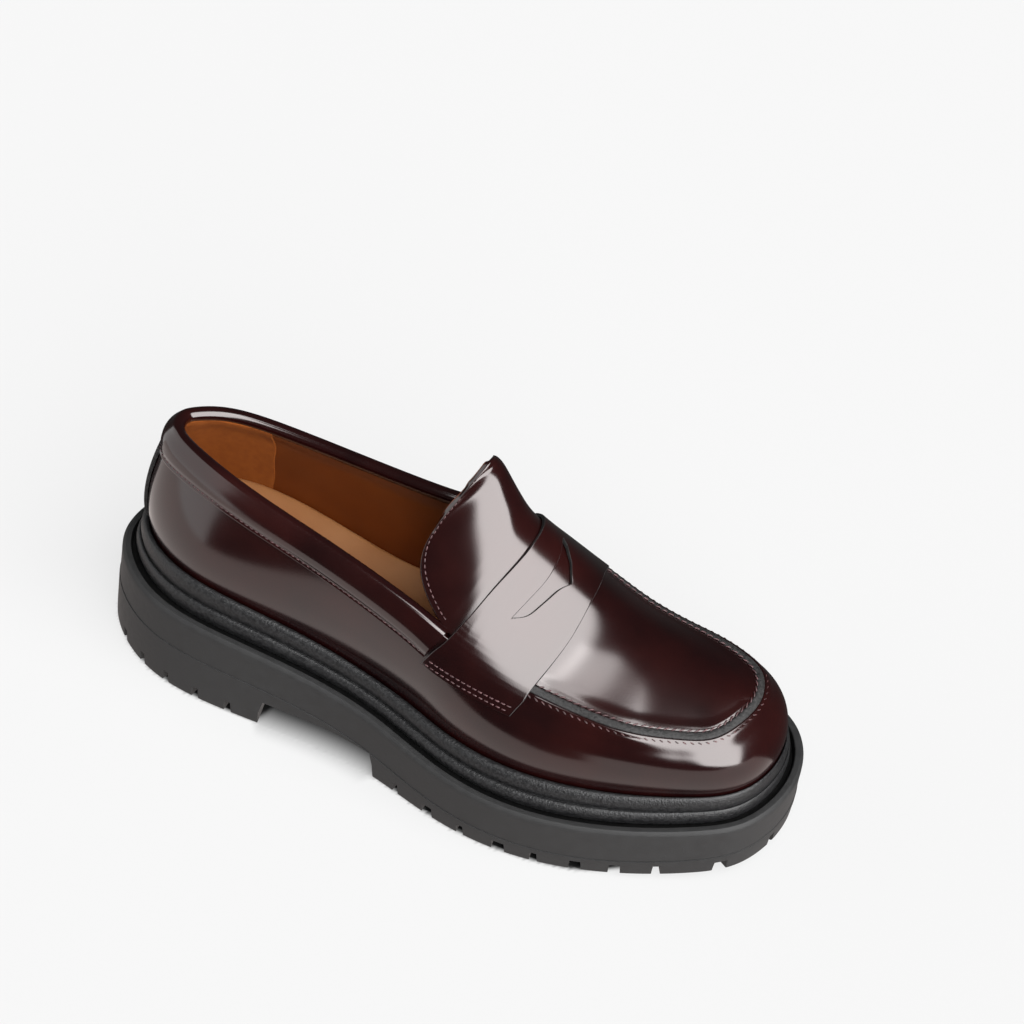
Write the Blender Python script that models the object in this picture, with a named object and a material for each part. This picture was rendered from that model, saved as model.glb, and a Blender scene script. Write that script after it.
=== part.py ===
"""Chunky lug sole loafer, right shoe, built as the pieces a shoemaker joins.

Axes: +X points to the toe, +Y to the inner (medial) side, -Y to the outer (lateral) side, +Z up.
Tables below are in millimetres; meshes are written in metres.
"""
import bpy
import bmesh
import numpy as np

MM = 0.001

# Overall sizes
TREAD_LENGTH = 272.0      # ground length of the tread, heel end to toe end
CENTRE_X = 0.7            # middle of the bounding box of the whole shoe, moved to the origin
CENTRE_Y = -1.65
GAP = 0.3                 # play left between pieces that are joined
WALL = 2.2                # leather and lining of the upper together
PLUG_THICKNESS = 2.0      # leather of the plug and tongue
STRAP_THICKNESS = 1.9     # folded leather of the saddle strap
BAND_THICKNESS = 1.3      # collar band and backstay
SEAM_STEP = 0.9           # height of the raised seam around the toe
LUG_HEIGHT = 6.0          # depth of the tread grooves
LUG_SINK = 1.6            # how far a lug reaches into the sole body
LUG_INSET = 0.3           # lugs stand this far inside the outline
WAIST_HEIGHT = 13.1       # underside of the arch above the floor
WALL_LINE_HEIGHT = 10.0   # parting line on the side wall of the sole
TOE_SPRING = 7.2          # height of the tread at the tip of the toe
SPRING_START = 0.66       # share of the length where the toe starts to lift
SHELF = 3.0               # open shelf between rim and welt
PLATFORM_DROP = 2.6       # platform under the upper, below the feather line
INSOLE_THICKNESS = 3.4

# Side wall of the sole, from the tread up: level, share of the rim flare, outward, above level
SOLE_WALL = (
    ("under", 0.00, 0.0, 0.0),
    ("parting", 0.12, 0.5, 0.0),
    ("parting", 0.15, 0.0, 0.9),
    ("rim", 1.00, -0.5, -3.2),
    ("rim", 1.00, 0.0, -2.4),
    ("rim", 1.00, -0.3, -0.3),
    ("rim", 1.00, -1.0, 0.0),
)

# Welt with two round beads: share of its width outward, share of its height
WELT_PROFILE = (
    (1.00, 0.00),
    (1.04, 0.14),
    (0.98, 0.34),
    (0.74, 0.44),
    (0.60, 0.46),
    (0.66, 0.62),
    (0.56, 0.84),
    (0.34, 0.98),
    (0.12, 1.00),
    (0.00, 0.95),
)
WELT_ABOVE_FOOT = 0.6     # top of the welt above the foot line

# Levels of the upper's wall: share of its height, share of the raised seam
UPPER_LEVELS = (
    (0.00, 0.0),
    (0.20, 0.0),
    (0.42, 0.0),
    (0.64, 0.0),
    (0.82, 0.0),
    (0.91, 1.0),
    (1.00, 1.0),
)
SEAM_START = 2.1          # rows ahead of the throat where the raised seam leaves the strap
SEAM_EASE = 4.0           # the seam rises to its full height in a quarter of a row
BAND_ROOM = 0.06          # rows left between collar band and strap

# Resolution of the faceted solids
PER_ROW = 3               # facets of the upper between two rows of its table
STATIONS_SOLE = 40
AROUND_WELT = 80
AROUND_INSOLE = 64
PLUG_ACROSS = 9
STRAP_ALONG = 33
STRAP_ACROSS = 8
BAND_AROUND = 49
BAND_ACROSS = 5

# Tread outline: share of length, lateral half width, medial half width
TREAD_OUTLINE = (
    (0.000, 0.0, 0.0),
    (0.035, 20.8, 25.2),
    (0.120, 35.5, 33.3),
    (0.240, 39.4, 30.9),
    (0.360, 39.4, 28.8),
    (0.460, 42.4, 34.7),
    (0.580, 50.8, 45.7),
    (0.700, 52.2, 49.1),
    (0.820, 44.8, 42.8),
    (0.920, 33.1, 35.0),
    (0.975, 21.3, 23.7),
    (1.000, 0.0, 0.0),
)
TOE_TIP_Y = 2.6

# Sole heights: share of length, rim height, how far the rim stands outside the tread
SOLE_HEIGHTS = (
    (0.00, 37.3, -2.9),
    (0.28, 35.9, -0.9),
    (0.50, 29.2, 0.6),
    (0.72, 26.6, 2.2),
    (1.00, 31.5, 1.6),
)

# Upper, one row per section around the shoe, starting at the heel and running along the
# lateral side to the toe, then back along the medial side.
# foot = where the wall meets the welt, edge = topline of the collar or seam of the plug.
# lean and rise shape the wall above the foot, run and drop shape it below the edge.
# foot x, foot y, foot z, edge x, edge y, edge z, lean, rise, run, drop
UPPER_ROWS = (
    (-122.8, 1.5, 49.8, -113.6, 4.0, 97.5, 3.0, 16.0, 5.5, 14.0),
    (-118.5, -10.0, 50.1, -111.0, -4.0, 98.5, 3.0, 16.0, 5.5, 14.0),
    (-108.0, -19.3, 50.6, -102.0, -10.5, 99.2, 3.0, 16.0, 5.0, 14.0),
    (-92.0, -25.6, 50.4, -88.0, -16.0, 98.8, 3.0, 16.0, 4.5, 14.0),
    (-70.0, -27.5, 48.4, -68.0, -20.5, 96.0, 3.0, 16.0, 4.0, 14.0),
    (-43.0, -28.0, 44.8, -42.0, -24.5, 92.0, 3.0, 16.0, 3.5, 14.0),
    (-17.0, -30.5, 40.8, -17.0, -28.8, 88.0, 3.0, 16.0, 3.5, 14.0),
    (3.0, -35.0, 38.5, 1.0, -32.0, 84.0, 3.0, 16.0, 4.0, 13.0),
    (18.0, -39.6, 37.3, 14.0, -34.0, 79.5, 3.0, 15.0, 5.0, 11.0),
    (35.0, -42.7, 36.7, 31.0, -34.8, 73.5, 3.0, 14.0, 6.0, 8.0),
    (53.0, -43.0, 36.6, 48.0, -34.5, 68.8, 3.0, 13.0, 6.5, 6.0),
    (72.0, -40.2, 37.0, 66.0, -34.0, 66.3, 3.0, 13.0, 6.0, 5.0),
    (90.0, -35.4, 37.9, 84.0, -32.5, 65.3, 3.0, 12.0, 5.5, 4.5),
    (106.0, -29.3, 39.0, 100.0, -26.0, 63.5, 2.8, 12.0, 5.5, 4.0),
    (119.0, -22.3, 40.0, 111.0, -19.5, 63.0, 2.5, 12.0, 6.0, 4.0),
    (127.3, -11.5, 40.7, 117.0, -9.0, 63.5, 2.5, 12.0, 6.0, 4.0),
    (129.8, 2.0, 40.9, 119.5, 3.0, 64.3, 2.5, 12.0, 6.0, 4.0),
    (127.3, 14.2, 40.7, 116.5, 13.5, 64.8, 2.5, 12.0, 6.0, 4.0),
    (119.0, 24.5, 40.0, 109.0, 19.5, 65.0, 2.5, 12.0, 6.0, 4.5),
    (105.0, 30.7, 39.0, 97.0, 22.8, 65.8, 2.8, 12.0, 6.0, 5.0),
    (88.0, 34.4, 37.8, 84.0, 24.8, 65.6, 3.0, 12.0, 6.0, 5.0),
    (70.0, 38.0, 36.9, 68.0, 26.8, 66.8, 3.0, 13.0, 6.5, 6.0),
    (52.0, 40.0, 36.6, 52.0, 29.0, 71.0, 3.0, 14.0, 6.5, 8.0),
    (35.0, 38.8, 36.7, 34.0, 31.0, 77.0, 3.0, 15.0, 6.0, 10.0),
    (18.0, 34.3, 37.3, 16.0, 32.0, 82.0, 3.0, 16.0, 5.0, 12.0),
    (3.0, 28.6, 38.5, 2.0, 28.0, 86.0, 3.5, 16.0, 4.0, 13.0),
    (-17.0, 21.5, 40.8, -13.0, 24.0, 88.3, 4.0, 16.0, 3.5, 14.0),
    (-43.0, 21.5, 44.8, -40.0, 23.2, 89.3, 3.5, 15.0, 3.5, 13.0),
    (-70.0, 24.5, 48.4, -68.0, 22.3, 91.2, 3.0, 14.0, 4.0, 13.0),
    (-92.0, 24.3, 50.4, -90.0, 19.8, 93.8, 3.0, 14.0, 4.5, 13.0),
    (-108.0, 20.5, 50.6, -103.0, 15.3, 95.8, 3.0, 15.0, 5.0, 13.0),
    (-118.5, 13.0, 50.1, -111.0, 9.5, 96.8, 3.0, 16.0, 5.5, 14.0),
)
THROAT_LATERAL = 8        # row numbers of the three corners of the plug
TOE_ROW = 16
THROAT_MEDIAL = 24
FOREPART_ROWS = TOE_ROW - THROAT_LATERAL

# Plug: station counted in rows from the throat, ridge x, ridge y, ridge z, roundness
PLUG_RIDGE = (
    (0.0, 25.0, 7.0, 105.3, 0.70),
    (1.0, 38.5, 7.0, 95.2, 0.60),
    (2.0, 51.5, 6.5, 87.0, 0.45),
    (3.0, 66.0, 5.5, 80.3, 0.40),
    (4.0, 82.0, 4.5, 76.0, 0.45),
    (5.0, 96.0, 4.0, 72.6, 0.50),
    (6.0, 107.0, 3.5, 69.6, 0.60),
    (7.0, 114.5, 3.0, 67.2, 0.80),
    (8.0, 119.5, 3.0, 64.6, 1.00),
)

# Tongue: station, lateral edge x y z, ridge x y z, medial edge x y z, roundness
TONGUE_ROWS = (
    (-0.5, 7.0, -30.5, 82.0, 22.5, 7.5, 109.5, 9.0, 31.0, 85.0, 0.75),
    (-1.0, 0.5, -26.5, 86.5, 20.0, 8.0, 113.5, 3.5, 30.0, 90.0, 0.75),
    (-2.0, -5.5, -20.0, 96.0, 16.0, 8.5, 120.0, -2.0, 28.5, 99.0, 0.75),
    (-3.0, -3.5, -13.0, 106.5, 12.8, 8.5, 125.0, 0.0, 25.5, 108.5, 0.80),
    (-4.0, 2.0, -7.0, 117.0, 10.2, 7.5, 128.6, 4.0, 19.5, 118.5, 0.90),
    (-5.0, 7.0, 0.5, 127.8, 8.4, 6.0, 131.0, 7.6, 11.0, 128.0, 1.00),
)

# Strap, lateral end to medial end: rear reach, rear station, front reach, front station
# reach: 0 is the ridge, 1 the plug seam, 2 the foot of the wall; lateral is negative
STRAP_ROWS = (
    (-1.41, -0.63, -1.36, 1.62),
    (-1.22, -0.32, -1.17, 1.83),
    (-1.00, 0.00, -1.00, 1.93),
    (-0.60, 0.15, -0.60, 2.13),
    (-0.25, 0.29, -0.25, 2.16),
    (0.10, 0.28, 0.10, 2.10),
    (0.50, 0.15, 0.50, 1.93),
    (1.00, -0.05, 1.00, 1.75),
    (1.20, -0.30, 1.16, 1.65),
    (1.40, -0.60, 1.34, 1.50),
)

# Two-lobed slot in the strap: station, reach
SLOT = (
    (0.83, -0.64), (0.97, -0.60), (1.14, -0.49), (1.26, -0.34), (1.36, -0.23),
    (1.50, -0.15), (1.34, -0.07), (1.12, 0.06), (0.92, 0.22), (0.78, 0.31),
    (0.88, 0.08), (0.97, -0.10), (0.99, -0.25), (0.91, -0.47),
)

# Collar band: row number, share of the wall height where the band starts
BAND_ROWS = (
    (THROAT_MEDIAL, 0.66),
    (28.0, 0.70),
    (32.0, 0.72),
    (36.0, 0.74),
    (38.0, 0.70),
    (40.0, 0.66),
)
BACKSTAY_HALF_WIDTH = 0.62   # in rows

# Grooves of the heel, medial breast corner round the back to the lateral breast corner:
# outer x, outer y, inner x, inner y, width
HEEL_GROOVES = (
    (-70.5, 31.0, -69.5, 3.0, 3.2),
    (-86.0, 33.0, -79.0, 5.0, 3.2),
    (-101.0, 33.0, -89.0, 8.5, 3.2),
    (-115.0, 31.5, -97.0, 12.0, 3.0),
    (-127.0, 25.0, -106.0, 13.0, 3.0),
    (-134.0, 14.5, -109.0, 8.5, 3.0),
    (-136.0, 1.0, -109.0, 1.0, 3.0),
    (-131.5, -12.0, -108.0, -5.5, 3.0),
    (-121.5, -24.5, -104.0, -10.5, 3.0),
    (-110.5, -32.0, -99.0, -17.0, 3.0),
    (-98.5, -36.5, -91.0, -17.0, 3.0),
    (-85.0, -38.5, -81.0, -13.5, 3.0),
    (-71.0, -39.5, -70.0, -9.5, 3.0),
)
HEEL_ENDS = ((-58.5, 30.5, -63.5, 2.0), (-58.5, -40.0, -64.5, -8.5))

# Grooves of the forefoot, medial front corner round the toe to the lateral corner
FORE_GROOVES = (
    (2.5, 42.0, 12.5, 13.0, 2.8),
    (18.0, 45.5, 23.0, 18.0, 4.8),
    (30.5, 48.0, 33.5, 19.0, 3.0),
    (44.5, 49.3, 44.5, 19.5, 5.2),
    (59.5, 48.5, 54.5, 18.5, 3.0),
    (75.0, 46.0, 67.5, 16.5, 4.8),
    (90.0, 42.0, 78.0, 14.5, 3.2),
    (103.0, 38.0, 89.5, 14.0, 5.0),
    (122.5, 29.0, 100.0, 11.5, 5.6),
    (134.5, 12.0, 106.0, 5.0, 3.2),
    (133.5, -9.0, 105.0, -3.0, 3.2),
    (120.5, -25.5, 98.0, -11.5, 5.2),
    (102.0, -37.5, 88.5, -14.5, 3.2),
    (88.5, -43.5, 79.5, -18.5, 4.4),
    (75.0, -48.5, 67.5, -22.0, 4.6),
    (60.0, -51.5, 55.0, -24.0, 3.0),
    (46.5, -52.5, 42.5, -26.0, 5.2),
    (31.0, -51.8, 29.5, -26.5, 3.0),
    (16.5, -49.8, 17.0, -25.5, 4.8),
    (1.5, -46.5, 4.5, -22.5, 2.8),
)
FORE_ENDS = ((-9.5, 35.5, 6.5, 12.5), (-12.5, -42.0, -4.0, -22.0))

# Blocks inside the rings of lugs
CENTRE_BLOCKS = (
    ((-104.5, 8.0), (-102.0, -3.5), (-96.5, -1.5), (-89.5, 4.2), (-92.0, 7.0)),
    ((-98.5, -5.5), (-94.5, -13.5), (-83.0, -10.0), (-73.0, -5.5), (-73.0, -1.0), (-87.0, 1.6)),
    ((6.5, 8.5), (0.5, -9.5), (11.0, -9.0), (15.5, 0.0), (12.5, 8.0)),
    ((21.5, 11.0), (18.5, -1.0), (15.0, -9.5), (34.5, -11.5), (37.5, -6.0)),
    ((53.5, 4.5), (38.5, -14.0), (63.0, -17.5)),
    ((41.0, 13.5), (50.0, 4.5), (55.5, 7.5), (64.0, -8.0), (65.0, 13.0)),
    ((73.5, 11.5), (79.5, -12.0), (100.0, 1.5)),
)

# Heel breast and start of the forefoot tread, along the length
BREAST_FOOT = -58.3       # tread edge of the heel
BREAST_TOP = -50.5        # where the slope reaches the waist
BREAST_VEE = 6.0          # how far the breast is drawn back in the middle
BREAST_FADE = 13.0        # length over which the vee fades out
FORE_TOP = -18.0          # where the waist starts to fall again
FORE_FOOT = -12.6         # tread edge of the forefoot

COLOURS = {
    "outsole": ((0.045, 0.045, 0.047), 0.75),
    "welt": ((0.022, 0.022, 0.024), 0.70),
    "insole": ((0.55, 0.27, 0.10), 0.65),
    "upper": ((0.075, 0.012, 0.014), 0.16),
    "plug_and_tongue": ((0.080, 0.013, 0.015), 0.16),
    "strap": ((0.078, 0.012, 0.014), 0.16),
    "collar_band": ((0.070, 0.011, 0.013), 0.18),
    "backstay": ((0.070, 0.011, 0.013), 0.18),
}


def spline(knots, values, at, closed=False):
    """Cubic spline through the rows of values; natural ends, or periodic when closed."""
    knots = np.asarray(knots, float)
    values = np.asarray(values, float)
    gaps = np.diff(knots)
    count = len(knots)
    matrix = np.zeros((count, count))
    right = np.zeros(values.shape)
    for i in range(1, count - 1):
        matrix[i, i - 1:i + 2] = (gaps[i - 1], 2 * (gaps[i - 1] + gaps[i]), gaps[i])
        right[i] = 6 * ((values[i + 1] - values[i]) / gaps[i]
                        - (values[i] - values[i - 1]) / gaps[i - 1])
    if closed:
        matrix[0, 0] = 1
        matrix[0, -1] = -1
        matrix[-1, 0] = 2 * gaps[0]
        matrix[-1, 1] = gaps[0]
        matrix[-1, -1] = 2 * gaps[-1]
        matrix[-1, -2] = gaps[-1]
        right[-1] = 6 * ((values[1] - values[0]) / gaps[0]
                         - (values[-1] - values[-2]) / gaps[-1])
    else:
        matrix[0, 0] = 1
        matrix[-1, -1] = 1
    bend = np.linalg.solve(matrix, right)
    at = np.asarray(at, float)
    if closed:
        at = knots[0] + (at - knots[0]) % (knots[-1] - knots[0])
    else:
        at = np.clip(at, knots[0], knots[-1])
    k = np.clip(np.searchsorted(knots, at, side="right") - 1, 0, count - 2)
    h = gaps[k]
    a = (knots[k + 1] - at) / h
    b = (at - knots[k]) / h
    if values.ndim > 1:
        a = a[..., None]
        b = b[..., None]
        h = h[..., None]
    return (a * values[k] + b * values[k + 1]
            + ((a ** 3 - a) * bend[k] + (b ** 3 - b) * bend[k + 1]) * h * h / 6)


def column(table, index):
    """One column of a table as an array."""
    return np.array([row[index] for row in table], float)


# Outline of the sole

def outline_knots():
    """Closed list of outline points, heel, lateral side, toe, medial side, heel."""
    x = column(TREAD_OUTLINE, 0) * TREAD_LENGTH - TREAD_LENGTH / 2
    lateral = -column(TREAD_OUTLINE, 1)
    lateral[-1] = TOE_TIP_Y
    medial = column(TREAD_OUTLINE, 2)
    there = np.stack([x, lateral], 1)
    back = np.stack([x[-2:0:-1], medial[-2:0:-1]], 1)
    return np.vstack([there, back, there[:1]])


OUTLINE = outline_knots()
OUTLINE_STEPS = np.r_[0, np.cumsum(np.sqrt(np.linalg.norm(np.diff(OUTLINE, axis=0), axis=1)))]
FINE = np.linspace(0, OUTLINE_STEPS[-1], 1441)


def outline_at(steps):
    """Points of the tread outline and the outward normals there."""
    small = OUTLINE_STEPS[-1] / 4000
    here = spline(OUTLINE_STEPS, OUTLINE, steps, True)
    ahead = spline(OUTLINE_STEPS, OUTLINE, np.asarray(steps) + small, True)
    behind = spline(OUTLINE_STEPS, OUTLINE, np.asarray(steps) - small, True)
    along = ahead - behind
    along /= np.linalg.norm(along, axis=-1)[..., None]
    return here, np.stack([along[..., 1], -along[..., 0]], -1)


FINE_POINTS, FINE_NORMALS = outline_at(FINE)


def share(x):
    """Place along the tread as a share of its length."""
    return (np.asarray(x) + TREAD_LENGTH / 2) / TREAD_LENGTH


def spring(x):
    """Height of the tread above the floor: flat, then a parabola up to the toe."""
    rise = np.clip(share(x) - SPRING_START, 0, None) / (1 - SPRING_START)
    return TOE_SPRING * rise ** 2


def rim_height(x):
    """Height of the rim of the sole at x."""
    return spline(column(SOLE_HEIGHTS, 0), column(SOLE_HEIGHTS, 1), share(x))


def rim_flare(x):
    """Distance of the rim outside the tread outline at x."""
    return np.interp(share(x), column(SOLE_HEIGHTS, 0), column(SOLE_HEIGHTS, 2))


# Surface of the upper

ROW_COUNT = len(UPPER_ROWS)
ROW_KNOTS = np.arange(ROW_COUNT + 1, dtype=float)
ROWS = np.array(UPPER_ROWS + (UPPER_ROWS[0],), float)


def wall_rows(u):
    """The ten columns of the upper's table at row number u, on a smooth closed curve."""
    return spline(ROW_KNOTS, ROWS, u, True)


def wall_outward(u):
    """Level outward direction of the wall at row number u."""
    small = 0.02
    along = wall_rows(np.asarray(u) + small)[..., :2] - wall_rows(np.asarray(u) - small)[..., :2]
    along /= np.linalg.norm(along, axis=-1)[..., None]
    return np.stack([along[..., 1], -along[..., 0], np.zeros(along.shape[:-1])], -1)


def wall_point(u, v):
    """Outer surface of the upper: a cubic arc from the foot (v=0) to the edge (v=1)."""
    u, v = np.broadcast_arrays(np.asarray(u, float), np.asarray(v, float))
    row = wall_rows(u)
    out = wall_outward(u)
    up = np.array([0.0, 0.0, 1.0])
    foot = row[..., 0:3]
    edge = row[..., 3:6]
    low = foot + out * row[..., 6:7] + up * row[..., 7:8]
    high = edge + out * row[..., 8:9] - up * row[..., 9:10]
    t = v[..., None]
    s = 1 - t
    return s ** 3 * foot + 3 * s * s * t * low + 3 * s * t * t * high + t ** 3 * edge


def drop(w, roundness):
    """Rounded roof: 0 at the ridge, 1 at the edge, straighter for a small roundness."""
    return (np.sqrt(w * w + roundness ** 2) - roundness) / (np.sqrt(1 + roundness ** 2) - roundness)


def plug_rows(station):
    """Lateral edge, ridge, medial edge and roundness of the plug or tongue at a station."""
    station = np.asarray(station, float)
    ahead = np.clip(station, 0, FOREPART_ROWS)
    lateral = wall_point(THROAT_LATERAL + ahead, 1.0)
    medial = wall_point(THROAT_MEDIAL - ahead, 1.0)
    ridge = np.array(PLUG_RIDGE, float)
    tongue = np.array(TONGUE_ROWS[::-1], float)
    first = np.concatenate([
        [0.0], wall_point(THROAT_LATERAL, 1.0), ridge[0, 1:4],
        wall_point(THROAT_MEDIAL, 1.0), ridge[0, 4:5]])
    back = np.vstack([tongue, first])
    knots = np.r_[tongue[:, 0], ridge[:, 0]]
    crest = spline(knots, np.vstack([tongue[:, [4, 5, 6, 10]], ridge[:, 1:5]]), station)
    behind = np.clip(station, tongue[0, 0], 0)
    rear_lateral = spline(back[:, 0], back[:, 1:4], behind)
    rear_medial = spline(back[:, 0], back[:, 7:10], behind)
    choose = (station < 0)[..., None]
    lateral = np.where(choose, rear_lateral, lateral)
    medial = np.where(choose, rear_medial, medial)
    return lateral, crest[..., :3], medial, crest[..., 3]


def plug_point(station, q):
    """Outer surface of plug and tongue: q runs from -1 (lateral) over 0 (ridge) to 1."""
    station, q = np.broadcast_arrays(np.asarray(station, float), np.asarray(q, float))
    lateral, crest, medial, roundness = plug_rows(station)
    side = np.where((q < 0)[..., None], lateral, medial)
    w = np.abs(q)
    fall = drop(w, roundness)[..., None]
    level = w[..., None]
    point = crest + (side - crest) * fall
    point[..., 1:2] = crest[..., 1:2] + (side[..., 1:2] - crest[..., 1:2]) * level
    return point


def body_point(station, reach):
    """Outer surface under the strap: plug inside reach 1, wall of the upper beyond."""
    station, reach = np.broadcast_arrays(np.asarray(station, float), np.asarray(reach, float))
    inner = plug_point(station, np.clip(reach, -1, 1))
    u = np.where(reach < 0, THROAT_LATERAL + station, THROAT_MEDIAL - station)
    outer = wall_point(u, np.clip(2 - np.abs(reach), 0, 1))
    return np.where((np.abs(reach) > 1)[..., None], outer, inner)


# Mesh building

def grid_normals(points):
    """Unit normals of a grid of points, from the differences along both directions."""
    a = np.gradient(points, axis=0)
    b = np.gradient(points, axis=1)
    n = np.cross(a, b)
    return n / np.maximum(np.linalg.norm(n, axis=-1), 1e-9)[..., None]


def grid_faces(rows, columns, start=0, wrap=False, flip=False):
    """Quads of a grid of vertices numbered row by row."""
    i, j = np.meshgrid(np.arange(rows if wrap else rows - 1), np.arange(columns - 1), indexing="ij")
    k = (i + 1) % rows
    quads = np.stack([i * columns + j, k * columns + j, k * columns + j + 1, i * columns + j + 1], -1)
    quads = quads.reshape(-1, 4) + start
    return quads[:, ::-1] if flip else quads


def make_object(name, verts, faces, smooth=True):
    """Add one closed mesh, in metres and centred, with its own material."""
    place = np.asarray(verts, float) - np.array([CENTRE_X, CENTRE_Y, 0.0])
    mesh = bpy.data.meshes.new(name)
    mesh.from_pydata((place * MM).tolist(), [], [list(map(int, f)) for f in faces])
    work = bmesh.new()
    work.from_mesh(mesh)
    bmesh.ops.remove_doubles(work, verts=work.verts, dist=1e-6)
    bmesh.ops.triangulate(work, faces=[f for f in work.faces if len(f.verts) > 4])
    bmesh.ops.recalc_face_normals(work, faces=work.faces)
    work.to_mesh(mesh)
    work.free()
    mesh.shade_smooth() if smooth else mesh.shade_flat()
    obj = bpy.data.objects.new(name, mesh)
    bpy.context.scene.collection.objects.link(obj)
    if name in COLOURS:
        colour, roughness = COLOURS[name]
        material = bpy.data.materials.new(name)
        material.use_nodes = True
        shader = material.node_tree.nodes["Principled BSDF"]
        shader.inputs["Base Color"].default_value = (*colour, 1.0)
        shader.inputs["Roughness"].default_value = roughness
        shader.inputs["Metallic"].default_value = 0.0
        mesh.materials.append(material)
    return obj


def sheet_solid(name, outer, inner, wrap=False):
    """Closed sheet between two equal grids; wrap joins the last row to the first."""
    rows, columns = outer.shape[:2]
    verts = np.concatenate([outer.reshape(-1, 3), inner.reshape(-1, 3)])
    half = rows * columns
    faces = [grid_faces(rows, columns, 0, wrap), grid_faces(rows, columns, half, wrap, True)]
    faces = [list(f) for block in faces for f in block]
    for i in range(rows if wrap else rows - 1):
        k = (i + 1) % rows
        for j, order in ((0, 1), (columns - 1, -1)):
            edge = [i * columns + j, i * columns + j + half, k * columns + j + half, k * columns + j]
            faces.append(edge[::order])
    if not wrap:
        for j in range(columns - 1):
            for i, order in ((0, -1), (rows - 1, 1)):
                a = i * columns + j
                faces.append([a, a + half, a + half + 1, a + 1][::order])
    return make_object(name, verts, faces)


def ring_solid(name, rings, middle):
    """Closed body from equal rings stacked upward.

    The top is closed by strips from side to side, the underside by strips that meet
    in a middle line, one point for each pair of vertices.
    """
    count = len(rings[0])
    verts = np.concatenate(rings + [middle])
    faces = []
    for level in range(len(rings) - 1):
        for i in range(count):
            k = (i + 1) % count
            a = level * count
            faces.append([a + i, a + k, a + count + k, a + count + i])
    half = count // 2
    top = (len(rings) - 1) * count
    line = len(rings) * count - 1
    for i in range(half):
        quad = [top + i, top + i + 1, top + (count - i - 1) % count, top + (count - i) % count]
        faces.append(list(dict.fromkeys(quad)))
        far = (count - i) % count
        last = far - 1 if far else count - 1
        centre = [line + i if i else 0, line + i + 1 if i + 1 < half else half]
        for quad in ([i, i + 1, centre[1], centre[0]], [centre[0], centre[1], last, far]):
            quad = list(dict.fromkeys(quad))
            if len(quad) > 2:
                faces.append(quad)
    return make_object(name, verts, faces)


def middle_line(ring, pull):
    """Points halfway between the two sides of a ring, moved back by pull."""
    half = len(ring) // 2
    middle = (ring[1:half] + ring[:half:-1]) / 2
    middle[:, 0] -= pull(middle[:, 0])
    return middle


# Upper

def build_upper():
    """Hollow ring of leather from the platform of the sole to collar and plug seam."""
    u = np.arange(ROW_COUNT * PER_ROW) / PER_ROW
    v = column(UPPER_LEVELS, 0)
    outer = wall_point(u[:, None], v[None, :])
    wrapped = np.concatenate([outer[-1:], outer, outer[:1]])
    normal = grid_normals(wrapped)[1:-1]
    seam = (np.clip((u - THROAT_LATERAL - SEAM_START) * SEAM_EASE, 0, 1)
            * np.clip((THROAT_MEDIAL - SEAM_START - u) * SEAM_EASE, 0, 1))
    step = seam[:, None] * column(UPPER_LEVELS, 1)[None, :] * SEAM_STEP
    raised = outer + normal * step[..., None]
    inner = outer - normal * WALL
    foot = raised[:, :1] - np.array([0.0, 0.0, PLATFORM_DROP - GAP])
    foot_inner = inner[:, :1].copy()
    foot_inner[..., 2] = foot[..., 2]
    return sheet_solid("upper", np.concatenate([foot, raised], 1),
                       np.concatenate([foot_inner, inner], 1), True)


def build_plug():
    """Plug between the seams, running on under the strap as the tongue."""
    forward = np.arange(FOREPART_ROWS * PER_ROW) / PER_ROW
    forward = np.r_[forward, FOREPART_ROWS - 0.5 / PER_ROW]
    station = np.r_[np.linspace(-5.0, -0.5, 10), forward]
    q = np.linspace(-1, 1, PLUG_ACROSS)
    outer = plug_point(station[:, None], q[None, :])
    width = np.linalg.norm(outer[:, -1] - outer[:, 0], axis=-1)
    trim = 1 - 2 * (GAP + 0.15) / width
    outer = plug_point(station[:, None], q[None, :] * trim[:, None])
    normal = grid_normals(outer)
    normal[-len(forward):, 0] = edge_normal(THROAT_LATERAL + forward)
    normal[-len(forward):, -1] = edge_normal(THROAT_MEDIAL - forward)
    return sheet_solid("plug_and_tongue", outer, outer - normal * PLUG_THICKNESS)


def edge_normal(u):
    """Normal of the wall of the upper at its edge."""
    small = 0.02
    along = wall_point(u + small, 1.0) - wall_point(u - small, 1.0)
    rise = wall_point(u, 1.0) - wall_point(u, 1.0 - small)
    n = np.cross(along, rise)
    return n / np.linalg.norm(n, axis=-1)[..., None]


def build_strap():
    """Saddle strap over plug and wall, with the two-lobed slot cut through."""
    rows = np.array(STRAP_ROWS, float)
    along = np.linspace(0, len(rows) - 1, STRAP_ALONG)
    table = spline(np.arange(len(rows)), rows, along)
    across = np.linspace(0, 1, STRAP_ACROSS)[None, :]
    reach = table[:, 0:1] * (1 - across) + table[:, 2:3] * across
    station = table[:, 1:2] * (1 - across) + table[:, 3:4] * across
    under = body_point(station, reach)
    normal = -grid_normals(under)
    under = under + normal * GAP
    strap = sheet_solid("strap", under + normal * STRAP_THICKNESS, under)
    slot = np.array(SLOT, float)
    rim = body_point(slot[:, 0], slot[:, 1])
    through = np.cross(rim[5] - rim[12], rim[0] - rim[9])
    through /= -np.linalg.norm(through) * np.sign(through[2])
    cutter = prism("slot_cutter", rim + through * STRAP_THICKNESS * 3, -through * STRAP_THICKNESS * 6)
    cutter.hide_render = True
    cutter.display_type = "WIRE"
    apply_boolean(strap, cutter, "DIFFERENCE")
    return strap


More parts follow.
